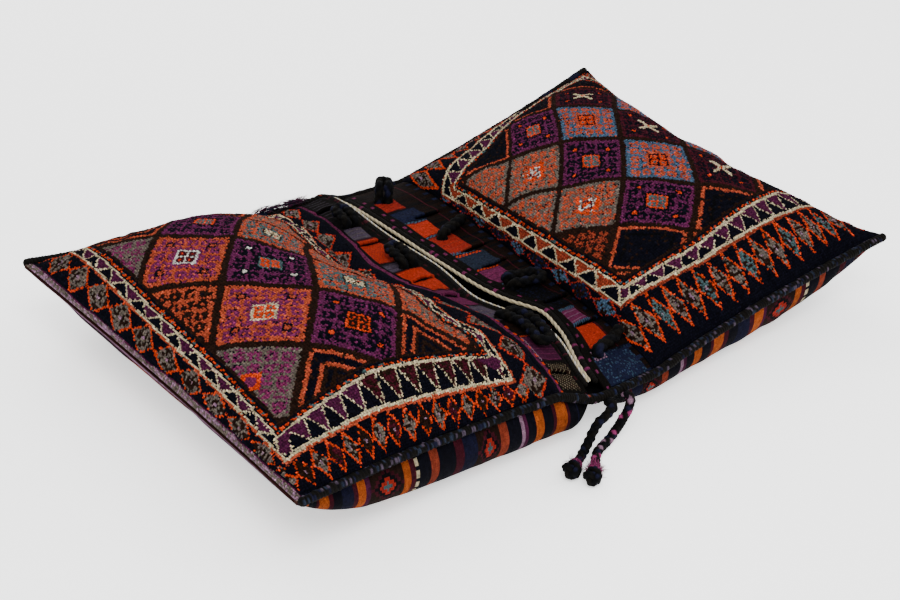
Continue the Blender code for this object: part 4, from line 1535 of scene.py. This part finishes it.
@dataclass(frozen=True)
class StripedBack:
    """The flat-woven back of both pouches and the bridge between them, striped across its width.

    stripes are the wefts from the left fold to the right one, as widths in metres with their dyes. brocaded and
    dotted name the stripes with figures by number, diamonds are (size, dye) of those figures, nested, and dark is
    how many rows to each side of the bridge are coal. step is a cell in the weave's UV, and flat the cloth's cut,
    which is not used.
    """

    rows: int = 208
    columns: int = 128
    bridge: int = 8
    dark: int = 24
    seed: int = 53
    step: Pair = (1.4, 1.2)
    flat: Pair = (0.66, 1.12)
    wall: float = FLAT_WALL - 0.001
    unevenness: float = 0.0008
    brocaded: tuple[int, int] = (13, 22)
    dotted: int = 16
    diamonds: tuple[tuple[float, Dye], ...] = (
        (1.02, Dye.MAROON), (0.80, Dye.COAL), (0.52, Dye.RED), (0.26, Dye.TEAL),
    )
    stripes: tuple[tuple[float, Dye], ...] = (
        (0.006, Dye.MAUVE), (0.004, Dye.PLUM), (0.012, Dye.NAVY), (0.012, Dye.AMBER), (0.014, Dye.NAVY),
        (0.005, Dye.MAROON), (0.018, Dye.AMBER), (0.007, Dye.MAROON), (0.016, Dye.NAVY), (0.020, Dye.INK),
        (0.006, Dye.MAROON), (0.014, Dye.AMBER), (0.006, Dye.PLUM), (0.046, Dye.BROWN), (0.010, Dye.AMBER),
        (0.008, Dye.MAROON), (0.004, Dye.CREAM), (0.018, Dye.NAVY), (0.010, Dye.RUST), (0.026, Dye.NAVY),
        (0.012, Dye.MAROON), (0.020, Dye.INK), (0.034, Dye.BROWN), (0.010, Dye.RUST), (0.020, Dye.NAVY),
    )

    def half(self, pouch: Pouch, across: Array) -> Array:
        """One pouch's back, from its fold to its free edge, at even steps along three of its lines."""
        places = even_places(lambda at: pouch.underside(at[:, None], np.array([-0.6, 0.0, 0.6])), 0, 2, self.rows)
        return pouch.underside(*grid_of(places, across))

    def points(self) -> Array:
        """The whole back's grid: one half, straight steps over the bridge, and the other half."""
        across = even_places(lambda at: LEFT.underside(np.array([0.5, 0.8]), at[:, None]), -1, 1, self.columns)
        left, right = self.half(LEFT, across), self.half(RIGHT, across)
        share = (np.arange(1, self.bridge) / self.bridge)[:, None, None]
        points = np.concatenate([left, left[-1] * (1 - share) + right[-1] * share, right[::-1]])
        return points[: len(points) - (len(points) - 1) % LINING_STEP]

    def colours(self, run: Array, random: Random) -> Array:
        """The stripes by the run along the back, with diamonds where the shares along and across add up under 1.

        Args:
            run: how far along the back each row of cells lies.
            random: for the dye's unevenness.

        Returns:
            A colour for each cell.
        """
        shape = (len(run), self.columns)
        widths = np.array([width for width, _ in self.stripes])
        ends = np.cumsum(widths)
        stripe = np.searchsorted(ends, np.mod(run, ends[-1]), side="right").clip(0, len(widths) - 1)
        colours = palette_of(tuple(dye for _, dye in self.stripes))[stripe][:, None] * np.ones((*shape, 1))
        _, column = grid_of(np.arange(shape[0]), np.arange(shape[1]))
        share = (np.mod(run, ends[-1]) - (ends - widths)[stripe]) / widths[stripe]
        diamond = np.abs(np.mod(column, 11) - 5) / 5.5 + np.abs(share * 2 - 1)[:, None]
        for size, dye in self.diamonds:
            colours[np.isin(stripe, self.brocaded)[:, None] & (diamond < size)] = dye.rgb
        colours[(stripe == self.dotted)[:, None] & (np.mod(column, 3) == 0)] = Dye.NAVY.rgb
        colours[self.rows - self.dark : self.rows + self.bridge + self.dark] = Dye.COAL.rgb
        colours = colours * np.exp(random.normal(0, 0.16, (*shape, 1)))
        return np.clip(colours * np.exp(0.10 * rough(random, *shape, 12))[..., None], 0, 1)

    def build(self, material: Material) -> Piece:
        """The back's grid with slight unevenness along its normals, kept on the floor.

        Args:
            material: flat weave.

        Returns:
            The object.
        """
        random = np.random.default_rng(self.seed)
        points = self.points()
        rows = len(points) - 1
        run = run_of(points[:, self.columns // 2])
        colours = self.colours((run[1:] + run[:-1]) / 2, random)
        flip = faces_up(points)
        relief = self.unevenness * rough(random, rows + 1, self.columns + 1, 8) * inward(rows, self.columns, 4)
        points = points + grid_normals(points) * (-1 if flip else 1) * relief[..., None]
        points[..., 2] = np.maximum(points[..., 2], 0.0)
        i, j = corners_of(rows, self.columns)
        uv = np.stack([i * self.step[0], j * self.step[1]], -1)
        obj = thick_cloth("striped_back", points, self.wall, colours, np.ones(i.shape), uv, flip, material)
        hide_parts("back_and_bridge")
        return obj


class LayKind(Enum):
    """How a cord's strands are put together."""

    WRAP = 0
    TWIST = 1
    PLAIT = 2


@dataclass(frozen=True)
class Lay:
    """How a cord is made up. depth is the relief's share of the radius, and pitch is in metres."""

    kind: LayKind
    strands: int
    pitch: float
    depth: float

    def relief(self, run: Array, angle: Array) -> tuple[Array, Array]:
        """The strands' relief: a rounded sine over each turn of a wrap or twist, or strands over and under.

        Args:
            run, angle: how far along the cord and round it.

        Returns:
            A height from 0 in the grooves to 1, and the number of the strand that shows.
        """
        turn = angle / (2 * math.pi)
        if self.kind is LayKind.WRAP:
            # Two slow waves crowd the wraps in some places and spread them in others.
            phase = run / self.pitch + turn + 0.30 * np.sin(run / 0.0130) + 0.22 * np.sin(run / 0.0057 + 1)
            return np.abs(np.sin(math.pi * phase)) ** 0.7, np.floor(phase)
        if self.kind is LayKind.TWIST:
            phase = self.strands * turn + run / self.pitch * self.strands / 2
            return np.abs(np.sin(math.pi * phase)) ** 0.8, np.floor(phase)
        u = self.strands * turn + run / self.pitch
        v = self.strands * turn - run / self.pitch
        over = np.mod(np.floor(u) + np.floor(v), 2) < 1
        across = np.where(over, np.mod(v, 1), np.mod(u, 1))
        lengthways = np.where(over, np.mod(u, 1), np.mod(v, 1))
        relief = np.sin(math.pi * across) ** 0.6 * (0.45 + 0.55 * np.sin(math.pi * lengthways))
        return relief, np.where(over, np.floor(v), np.floor(u) + 7)


# How far a cord's radius wanders in lumps and from point to point, and a dye from point to point.
UNEVEN = (0.06, 0.018)
UNEVEN_DYE = 0.12


@dataclass(frozen=True)
class Cord:
    """A cord's make: its thickness over the strands, its lay, the distance between rings and the faces round it.

    Each strand keeps its own dye in turn. Where speck is set, the cord has its first dye instead, with specks of
    all of them that long, a number of them round the cord, in a share of the places.
    """

    diameter: float
    lay: Lay
    dyes: tuple[Dye, ...]
    spacing: float = 0.0009
    sides: int = 20
    seed: int = 0
    speck: float = 0.0
    share: float = 0.0
    around: int = 1

    def colours(self, run: Array, angle: Array, strand: Array, random: Random) -> Array:
        """The dye at each point of the cord.

        Args:
            run, angle: how far along the cord and round it.
            strand: the strand that shows.
            random: for the specks.

        Returns:
            A colour for each point.
        """
        palette = palette_of(self.dyes)
        if not self.speck:
            return palette[np.mod(strand, len(palette)).astype(int)]
        size = (int(run.max() / self.speck) + 2, self.around)
        choice = random.integers(0, len(palette), size)
        choice = np.where(random.random(size) < self.share, choice, 0)
        return palette[choice[(run / self.speck).astype(int), (angle / (2 * math.pi) * self.around).astype(int)]]

    def build(self, name: str, solid: str, path: Array | tuple[Point, ...], material: Material) -> Piece:
        """A ring of points round each point of the path, with the strands in relief and rounded ends, and painted
        shade in the grooves between the strands.

        Args:
            name: the piece's name.
            solid: the name of the solid that it stands for.
            path: points of its centreline.
            material: its finish.

        Returns:
            The object.
        """
        random = np.random.default_rng(self.seed)
        path = smooth_route(path, self.spacing)
        run, sides, rings = run_of(path), self.sides, len(path)
        side, up = sides_along(path)
        angle = np.arange(sides) / sides * 2 * math.pi
        run_at, angle_at = grid_of(run, angle)
        relief, strand = self.lay.relief(run_at, angle_at)
        uneven = 1 + UNEVEN[0] * rough(random, rings, sides, 6) + random.normal(0, UNEVEN[1], (rings, sides))
        half = self.diameter / 2
        ends = np.sqrt(np.clip(1 - np.clip(1 - np.minimum(run, run[-1] - run) / half, 0, 1) ** 2, 0.02, 1))
        radius = half * (1 - self.lay.depth * (1 - relief)) * uneven * ends[:, None]
        ring = side[:, None] * np.cos(angle)[None, :, None] + up[:, None] * np.sin(angle)[None, :, None]
        points = path[:, None] + ring * radius[..., None]
        index = np.arange(rings * sides).reshape(rings, sides)
        after = np.roll(index, -1, 1)
        quads = np.stack([index[1:], after[1:], after[:-1], index[:-1]], -1).reshape(-1, 4)
        caps = [index[0], index[-1][::-1]]
        obj = linked(name, points.reshape(-1, 3), [*quads.tolist(), *(cap.tolist() for cap in caps)])
        # Painted shade: the dye falls to 0.45 in the lay's grooves and rises to 1.1 on the strands' crowns, by the
        # relief.
        colours = self.colours(run_at, angle_at, strand, random) * (0.45 + 0.65 * relief)[..., None]
        colours = np.clip(colours * np.exp(random.normal(0, UNEVEN_DYE, (rings, sides, 1))), 0, 1).reshape(-1, 3)
        corner = np.concatenate([quads.reshape(-1), *caps])
        uv = np.stack([run_at / 0.001, angle_at * half / 0.001], -1).reshape(-1, 2)
        dress(obj, colours[corner], uv[corner], material)
        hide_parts(solid)
        return obj


def sides_along(path: Array) -> tuple[Array, Array]:
    """Unit vectors to the side and up along a path, each the one before it less its part along the path.

    Args:
        path: its points.

    Returns:
        The side and the up vector at each point.
    """
    tangent = unit(np.gradient(path, axis=0))
    first = np.cross(tangent[0], (0, 0, 1))
    if np.linalg.norm(first) < 0.1:
        first = np.cross(tangent[0], (0, 1, 0))
    side = [unit(first)]
    for direction in tangent[1:]:
        side.append(unit(side[-1] - direction * (side[-1] @ direction)))
    side = np.array(side)
    return side, np.cross(side, tangent)


DARK_STRANDS = dyes_of("GOAT COAL GOAT COAL GOAT INK COAL")
SPOTTED_STRANDS = dyes_of("GOAT COAL PINK GOAT COAL GOAT INK MAUVE COAL")
SIDES = {"near": -1, "far": 1}


@dataclass(frozen=True)
class Overcasting:
    """Goat-hair overcasting along each side seam, up to end, and round each end of the bridge, which it laps."""

    lay: Lay = Lay(LayKind.WRAP, 1, 0.0046, 0.24)
    end: float = 1.9
    lap: float = 0.08
    seam: float = SIDE_BINDING * 1.10
    bridge: float = SIDE_BINDING * 1.16

    def seams(self, material: Material) -> list[Piece]:
        """The overcasting of both pouches' side seams, which is finely flecked on the near side."""
        near = dyes_of("GOAT INK COAL DENIM VIOLET")
        made = []
        for pouch in (LEFT, RIGHT):
            for word, across in SIDES.items():
                if word == "near":
                    cord = Cord(self.seam, self.lay, near, 0.0010, 16, len(made), 0.0030, 0.36, 7)
                else:
                    cord = Cord(self.seam, self.lay, near[:3], 0.0010, 16, len(made), 0.02, 0.4)
                points = pouch.seam_points(across, 0.0, self.end, 22)
                names = f"{pouch.name}_overcasting_{word}", f"{pouch.name}_binding_{word}"
                made.append(cord.build(*names, points, material))
        return made

    def build(self, material: Material) -> list[Piece]:
        """All the overcasting.

        Args:
            material: goat hair.

        Returns:
            The objects.
        """
        made = self.seams(material)
        dyes = dyes_of("GOAT RUST MAUVE COAL INDIGO")
        cord = Cord(self.bridge, self.lay, dyes, 0.0009, 18, 9, 0.0036, 0.26, 5)
        for word, across in SIDES.items():
            left = LEFT.seam_points(across, self.end - self.lap, 2.0, 3)
            right = RIGHT.seam_points(across, 2.0, self.end - self.lap, 3)
            names = f"bridge_overcasting_{word}", f"bridge_binding_{word}"
            made.append(cord.build(*names, np.concatenate([left[:-1], right[1:]]), material))
        return made


@dataclass(frozen=True)
class Mouth:
    """The wrapped roll on the mouth's edge and the twisted cotton cord along it.

    specks are the roll's dyes, each speck that long, and pitch is the cord's.
    """

    pouch: Pouch
    colour: str
    specks: tuple[Dye, ...]
    speck: float
    cottons: tuple[Dye, Dye]
    pitch: float
    roll_lay: Lay = Lay(LayKind.WRAP, 1, 0.0040, 0.18)

    def build(self, hair: Material, cotton: Material) -> list[Piece]:
        """The roll and the cord, each along a line beside the panel's free edge.

        Args:
            hair: the roll's finish.
            cotton: the cord's finish.

        Returns:
            The two objects.
        """
        pouch = self.pouch
        wrapped = Cord(MOUTH_ROLL * 1.08, self.roll_lay, self.specks, 0.0009, 16, 21, self.speck, 0.30)
        line = pouch.lip_points(MOUTH_ROLL / 2 + MOUTH_SEAT * 0.4, 0.955)
        roll = wrapped.build(f"{pouch.name}_wrapped_roll", f"{pouch.name}_mouth_roll", line, hair)
        line = pouch.lip_points(MOUTH_ROLL + pouch.cord / 2 + MOUTH_SEAT + CLEARANCE, 0.94)
        line[:, 2] += 0.0008
        twisted = Cord(pouch.cord, Lay(LayKind.TWIST, 2, self.pitch, 0.26), self.cottons, 0.0007, 12, 22)
        cord = twisted.build(f"{pouch.name}_cotton_cord", f"{self.colour}_mouth_cord", line, cotton)
        return [roll, cord]


LEFT_MOUTH = Mouth(LEFT, "white", dyes_of("GOAT COAL MAROON"), 0.0036, (Dye.WHITE, Dye.CREAM), 0.006)
RIGHT_MOUTH = Mouth(RIGHT, "cream", dyes_of("GOAT COAL MAGENTA GOAT"), 0.0054, (Dye.CREAM, Dye.CREAM), 0.011)


@dataclass(frozen=True)
class ClosureBraids:
    """The plaited goat-hair loops. Sizes are shares of a braid's radius."""

    width: float = 2.25
    pitch: float = 1.9
    depth: float = 0.34
    first_seed: int = 40

    def build(self, material: Material) -> list[Piece]:
        """A plait along each loop's centreline.

        Args:
            material: goat hair.

        Returns:
            The objects.
        """
        made = []
        for k, loop in enumerate(LOOPS):
            lay = Lay(LayKind.PLAIT, 3, loop.radius * self.pitch, self.depth)
            cord = Cord(self.width * loop.radius, lay, DARK_STRANDS, 0.0008, 24, self.first_seed + k)
            made.append(cord.build(f"{loop.name}_braid", loop.name, loop.centreline(), material))
        return made


@dataclass(frozen=True)
class Fibres:
    """Many thin curling strands in one mesh. curl is how far they stray, as a share of their length."""

    radius: float
    seed: int
    curl: float = 0.25
    steps: int = 6

    def build(self, name: str, roots: Array, directions: Array, lengths: Array, colours: Array,
              material: Material) -> Piece:
        """Three-sided strands: a straight line, a stray that grows with the square of the way and a slow wave.

        Args:
            name: the piece's name.
            roots: count x 3 starting points.
            directions: count x 3 unit directions.
            lengths: each strand's length.
            colours: count x 3 linear colours.
            material: its finish.

        Returns:
            The object.
        """
        random = np.random.default_rng(self.seed)
        count, steps, length = len(roots), self.steps, lengths[:, None, None]
        t = np.linspace(0, 1, steps)[None, :, None]
        stray = random.normal(0, 1, (2, count, 1, 3))
        path = roots[:, None] + directions[:, None] * length * t
        path = path + stray[0] * self.curl * length * t**2
        path = path + stray[1] * self.curl * 0.5 * length * np.sin(t * math.pi * 1.5)
        path[..., 2] = np.maximum(path[..., 2], self.radius)
        tangent = unit(np.gradient(path, axis=1))
        side = unit(np.cross(tangent, np.array([0.31, 0.52, 0.80])))
        up = np.cross(side, tangent)
        corners = (np.arange(3) * 2 * math.pi / 3)[None, None, :, None]
        ring = side[:, :, None] * np.cos(corners) + up[:, :, None] * np.sin(corners)
        points = path[:, :, None] + ring * (self.radius * (1 - 0.7 * t[..., 0]))[..., None, None]
        index = np.arange(count * steps * 3).reshape(count, steps, 3)
        after = np.roll(index, -1, 2)
        quads = np.stack([index[:, 1:], after[:, 1:], after[:, :-1], index[:, :-1]], -1).reshape(-1, 4)
        caps = [index[:, 0], index[:, -1][:, ::-1]]
        obj = linked(name, points.reshape(-1, 3), [*quads.tolist(), *(ring for cap in caps for ring in cap.tolist())])
        corner = np.concatenate([quads.reshape(-1), *(cap.reshape(-1) for cap in caps)])
        dress(obj, np.repeat(colours, steps * 3, 0)[corner], np.zeros((len(corner), 2)), material)
        return obj


@dataclass(frozen=True)
class Tassel:
    """A braided cord that lies out on the floor, with a knot at its end and a dyed wool tie with loose ends.

    route starts where the cord leaves the bridge, and root is how far inside its overcasting the braid begins.
    sweep is the way that the fringe lies, out (1) or back (-1).
    """

    word: str
    route: tuple[Point, ...]
    strands: tuple[Dye, ...]
    wool: tuple[Dye, Dye]
    fringe_count: int
    fringe_seed: int
    sweep: int
    diameter: float = 0.013
    root: float = 0.006
    knot_length: float = 0.024
    knot_strand: float = 0.0104
    knot_radius: float = 0.0062
    knot_rest: float = 0.0052
    tie_thickness: float = 0.003
    tie_strand: float = 0.0024
    tie_turns: float = 3.2
    fringe_length: Pair = (0.005, 0.011)

    def directions(self, path: Array) -> tuple[Array, Array, Array]:
        """Unit vectors ahead, aside and over at the path's end."""
        ahead = unit(path[-1] - path[-3])
        aside = unit(np.cross(ahead, (0, 0, 1)))
        return ahead, aside, np.cross(aside, ahead)

    def knot(self, path: Array, material: Material) -> Piece:
        """The knotted end: a trefoil, whose radius swells three times while it goes round twice.

        Args:
            path: the cord's centreline.
            material: goat hair.

        Returns:
            The object.
        """
        ahead, aside, over = self.directions(path)
        phi = np.linspace(0, 2 * math.pi, 120)
        wide = self.knot_radius * (2 + np.cos(3 * phi)) / 3 * 1.35
        centreline = (
            path[-1] + ahead * (self.knot_length / 2 + CLEARANCE)
            + aside * (wide * np.cos(2 * phi))[:, None]
            + over * (wide * np.sin(2 * phi))[:, None] * 0.9
            + ahead * (self.knot_rest * np.sin(3 * phi))[:, None]
        )
        centreline[:, 2] = np.maximum(centreline[:, 2], self.knot_rest)
        cord = Cord(self.knot_strand, Lay(LayKind.PLAIT, 3, 0.0065, 0.30), DARK_STRANDS, seed=63)
        return cord.build(f"{self.word}_tassel_knotted_end", f"tassel_knot_{self.word}", centreline, material)

    def tie(self, path: Array, material: Material) -> tuple[Piece, Piece]:
        """The wool wound round the cord as a helix, and its loose ends, which stand out as spokes.

        Args:
            path: the cord's centreline.
            material: goat hair.

        Returns:
            The tie and the fringe.
        """
        ahead, aside, over = self.directions(path)
        middle = path[-1] - ahead * self.tie_thickness
        reach = self.diameter / 2 + 0.0004
        turns = np.linspace(0, self.tie_turns * 2 * math.pi, 120)
        centreline = (
            middle
            + aside * (reach * np.cos(turns))[:, None]
            + over * (reach * np.sin(turns))[:, None]
            + ahead * ((turns / turns[-1] - 0.5) * self.tie_thickness * 2)[:, None]
        )
        cord = Cord(self.tie_strand, Lay(LayKind.TWIST, 2, 0.004, 0.2), self.wool, 0.0006, 8, 64)
        tie = cord.build(f"{self.word}_tassel_wool_tie", f"tassel_tie_{self.word}", centreline, material)
        random = np.random.default_rng(self.fringe_seed)
        count = self.fringe_count
        angle = random.uniform(0, 2 * math.pi, count)
        spoke = aside * np.cos(angle)[:, None] + over * np.sin(angle)[:, None]
        spread = self.tie_thickness
        roots = middle + spoke * reach + ahead * random.uniform(-spread, spread, count)[:, None]
        direction = unit(spoke * 0.55 + ahead * random.uniform(0.1, 0.9, count)[:, None] * self.sweep)
        tint = self.wool[0].rgb * np.exp(random.normal(0, 0.25, (count, 1)))
        fringe = Fibres(0.00035, 67).build(f"{self.word}_tassel_fringe", roots, direction,
                                           random.uniform(*self.fringe_length, count), tint, material)
        return tie, fringe

    def build(self, material: Material) -> list[Piece]:
        """The cord with its knot, tie and fringe.

        Args:
            material: goat hair.

        Returns:
            The four objects.
        """
        path = smooth_route(self.route, 0.0012)
        x, y, z = self.route[0]
        braid = Cord(self.diameter, Lay(LayKind.PLAIT, 3, 0.0095, 0.28), self.strands, 0.0008, 24, 61)
        names = f"{self.word}_tassel_braid", f"tassel_cord_{self.word}"
        cord = braid.build(*names, ((x, y + self.root, z), *self.route), material)
        knot = self.knot(path, material)
        tie, fringe = self.tie(path, material)
        for piece in (cord, knot, tie, fringe):
            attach(piece, "root")
        return [cord, knot, tie, fringe]


LEFT_TASSEL = Tassel(
    word="left",
    route=(
        (-0.0360, -0.3105, 0.0460), (-0.0360, -0.3190, 0.0460), (-0.0500, -0.3235, 0.0400),
        (-0.0660, -0.3230, 0.0300), (-0.0800, -0.3270, 0.0170), (-0.0950, -0.3330, 0.0080),
        (-0.1130, -0.3430, 0.0085), (-0.1255, -0.3500, 0.0112),
    ),
    strands=DARK_STRANDS,
    wool=(Dye.MAGENTA, Dye.PINK),
    fringe_count=60,
    fringe_seed=65,
    sweep=1,
)

RIGHT_TASSEL = Tassel(
    word="right",
    route=(
        (-0.0060, -0.3105, 0.0460), (-0.0060, -0.3190, 0.0460), (-0.0130, -0.3240, 0.0330),
        (-0.0240, -0.3250, 0.0200), (-0.0380, -0.3270, 0.0090), (-0.0550, -0.3330, 0.0072),
        (-0.0790, -0.3420, 0.0072), (-0.1010, -0.3600, 0.0085), (-0.1150, -0.3720, 0.0112),
    ),
    strands=SPOTTED_STRANDS,
    wool=(Dye.PINK, Dye.MAGENTA),
    fringe_count=170,
    fringe_seed=66,
    sweep=-1,
)


@dataclass(frozen=True)
class FrayedTuft:
    """The frayed, dyed warp ends that lie both ways along the left pouch's far seam. reach is their stretch of it."""

    count: int = 420
    reach: Pair = (0.86, 1.28)
    height: float = 0.008
    length: Pair = (0.008, 0.018)
    dyes: tuple[Dye, ...] = dyes_of("PLUM MAGENTA INDIGO NAVY VIOLET")

    def build(self, material: Material) -> Piece:
        """Strands from chance places on the seam's line, each near to level.

        Args:
            material: goat hair.

        Returns:
            The object.
        """
        random, count = np.random.default_rng(71), self.count
        line = LEFT.seam_points(1, *self.reach, 40)
        line[:, 2] += (SIDE_BINDING + self.height) / 2 + CLEARANCE
        roots = line[random.integers(0, len(line) - 8, count)] + random.normal(0, 0.0018, (count, 3))
        direction = np.array([1.0, 0, -0.05]) * np.where(random.random(count) < 0.5, 1, -1)[:, None]
        direction = unit(direction + random.normal(0, 0.13, (count, 3)))
        tint = palette_of(self.dyes)[random.integers(0, len(self.dyes), count)]
        tuft = Fibres(0.0005, 72, 0.14).build("frayed_tuft", roots, direction, random.uniform(*self.length, count),
                                              tint, material)
        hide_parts("far_tuft")
        return tuft


@dataclass(frozen=True)
class Studio:
    """A white floor under soft light, and the camera where the photograph was taken, in degrees and metres.

    lamps are (name, place, size, power).
    """

    floor_reach: float = 30.0
    floor_colour: tuple[float, float, float, float] = (0.94, 0.94, 0.94, 1)
    floor_glow: float = 0.80
    sky: float = 1.6
    azimuth: float = -41.5
    elevation: float = 31.1
    roll: float = 3.2
    distance: float = 2.43
    target: Point = (-0.044, -0.015, 0.05)
    lens: float = 72.8
    lamps: tuple[tuple[str, Point, float, float], ...] = (
        ("key", (-1.2, -1.6, 2.6), 1.6, 90.0),
        ("fill", (2.2, -1.0, 1.8), 2.0, 30.0),
        ("back", (0.6, 2.4, 2.0), 1.8, 45.0),
    )

    def floor(self) -> None:
        """A large matt square that glows a little, so that it stays pale."""
        mesh = bpy.data.meshes.new("floor")
        far = self.floor_reach
        mesh.from_pydata([(-far, -far, 0), (far, -far, 0), (far, far, 0), (-far, far, 0)], [], [(0, 1, 2, 3)])
        floor = bpy.data.objects.new("floor", mesh)
        bpy.context.scene.collection.objects.link(floor)
        paint = bpy.data.materials.new("white floor")
        paint.use_nodes = True
        shader = paint.node_tree.nodes["Principled BSDF"]
        shader.inputs["Base Color"].default_value = self.floor_colour
        shader.inputs["Roughness"].default_value = 0.9
        shader.inputs["Emission Color"].default_value = (1, 1, 1, 1)
        shader.inputs["Emission Strength"].default_value = self.floor_glow
        mesh.materials.append(paint)

    def light(self) -> None:
        """An even sky and three large lamps that look at the bag."""
        world = bpy.data.worlds.new("studio")
        world.use_nodes = True
        sky = world.node_tree.nodes["Background"]
        sky.inputs["Color"].default_value = (1, 1, 1, 1)
        sky.inputs["Strength"].default_value = self.sky
        bpy.context.scene.world = world
        for name, place, size, power in self.lamps:
            light = bpy.data.lights.new(name, "AREA")
            light.energy = power
            light.size = size
            lamp = bpy.data.objects.new(name, light)
            lamp.location = place
            lamp.rotation_mode = "QUATERNION"
            lamp.rotation_quaternion = (Vector((0, 0, 0.05)) - Vector(place)).to_track_quat("-Z", "Y")
            bpy.context.scene.collection.objects.link(lamp)

    def camera(self) -> None:
        """The camera, back from its target by the distance, with its right and up turned by the roll."""
        azimuth, elevation, roll = (math.radians(turn) for turn in (self.azimuth, self.elevation, self.roll))
        level = math.cos(elevation)
        back = Vector((math.sin(azimuth) * level, -math.cos(azimuth) * level, math.sin(elevation)))
        right = Vector((math.cos(azimuth), math.sin(azimuth), 0))
        up = back.cross(right)
        right, up = right * math.cos(roll) + up * math.sin(roll), up * math.cos(roll) - right * math.sin(roll)
        data = bpy.data.cameras.new("camera")
        data.sensor_width = 36
        data.lens = self.lens
        camera = bpy.data.objects.new("camera", data)
        turned = Matrix((right, up, back)).transposed().to_4x4()
        camera.matrix_world = Matrix.Translation(Vector(self.target) + back * self.distance) @ turned
        bpy.context.scene.collection.objects.link(camera)
        bpy.context.scene.camera = camera


def main() -> None:
    """Builds the studio and every sub-assembly, fixes each piece to the bag and reports it."""
    studio = Studio()
    studio.camera()
    studio.floor()
    studio.light()
    wool, weave, hair, cotton = (finish.material() for finish in (WOOL_PILE, FLAT_WEAVE, GOAT_HAIR, COTTON))
    pieces = LEFT_TASSEL.build(hair) + RIGHT_TASSEL.build(hair)
    for face, panel, mouth in (
        (PileFace(LEFT, LEFT_CHART), LEFT_PANEL, LEFT_MOUTH),
        (PileFace(RIGHT, RIGHT_CHART), RIGHT_PANEL, RIGHT_MOUTH),
    ):
        pieces += [face.build(wool), panel.build(weave), *mouth.build(hair, cotton)]
    pieces.append(StripedBack().build(weave))
    pieces += Overcasting().build(hair) + ClosureBraids().build(hair)
    pieces.append(FrayedTuft().build(hair))
    for piece in pieces:
        if body_of(piece) is None:
            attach(piece, "root")
        LOG.info("%s: %d faces", piece.name, len(piece.data.polygons))


if __name__ == "__main__":
    main()
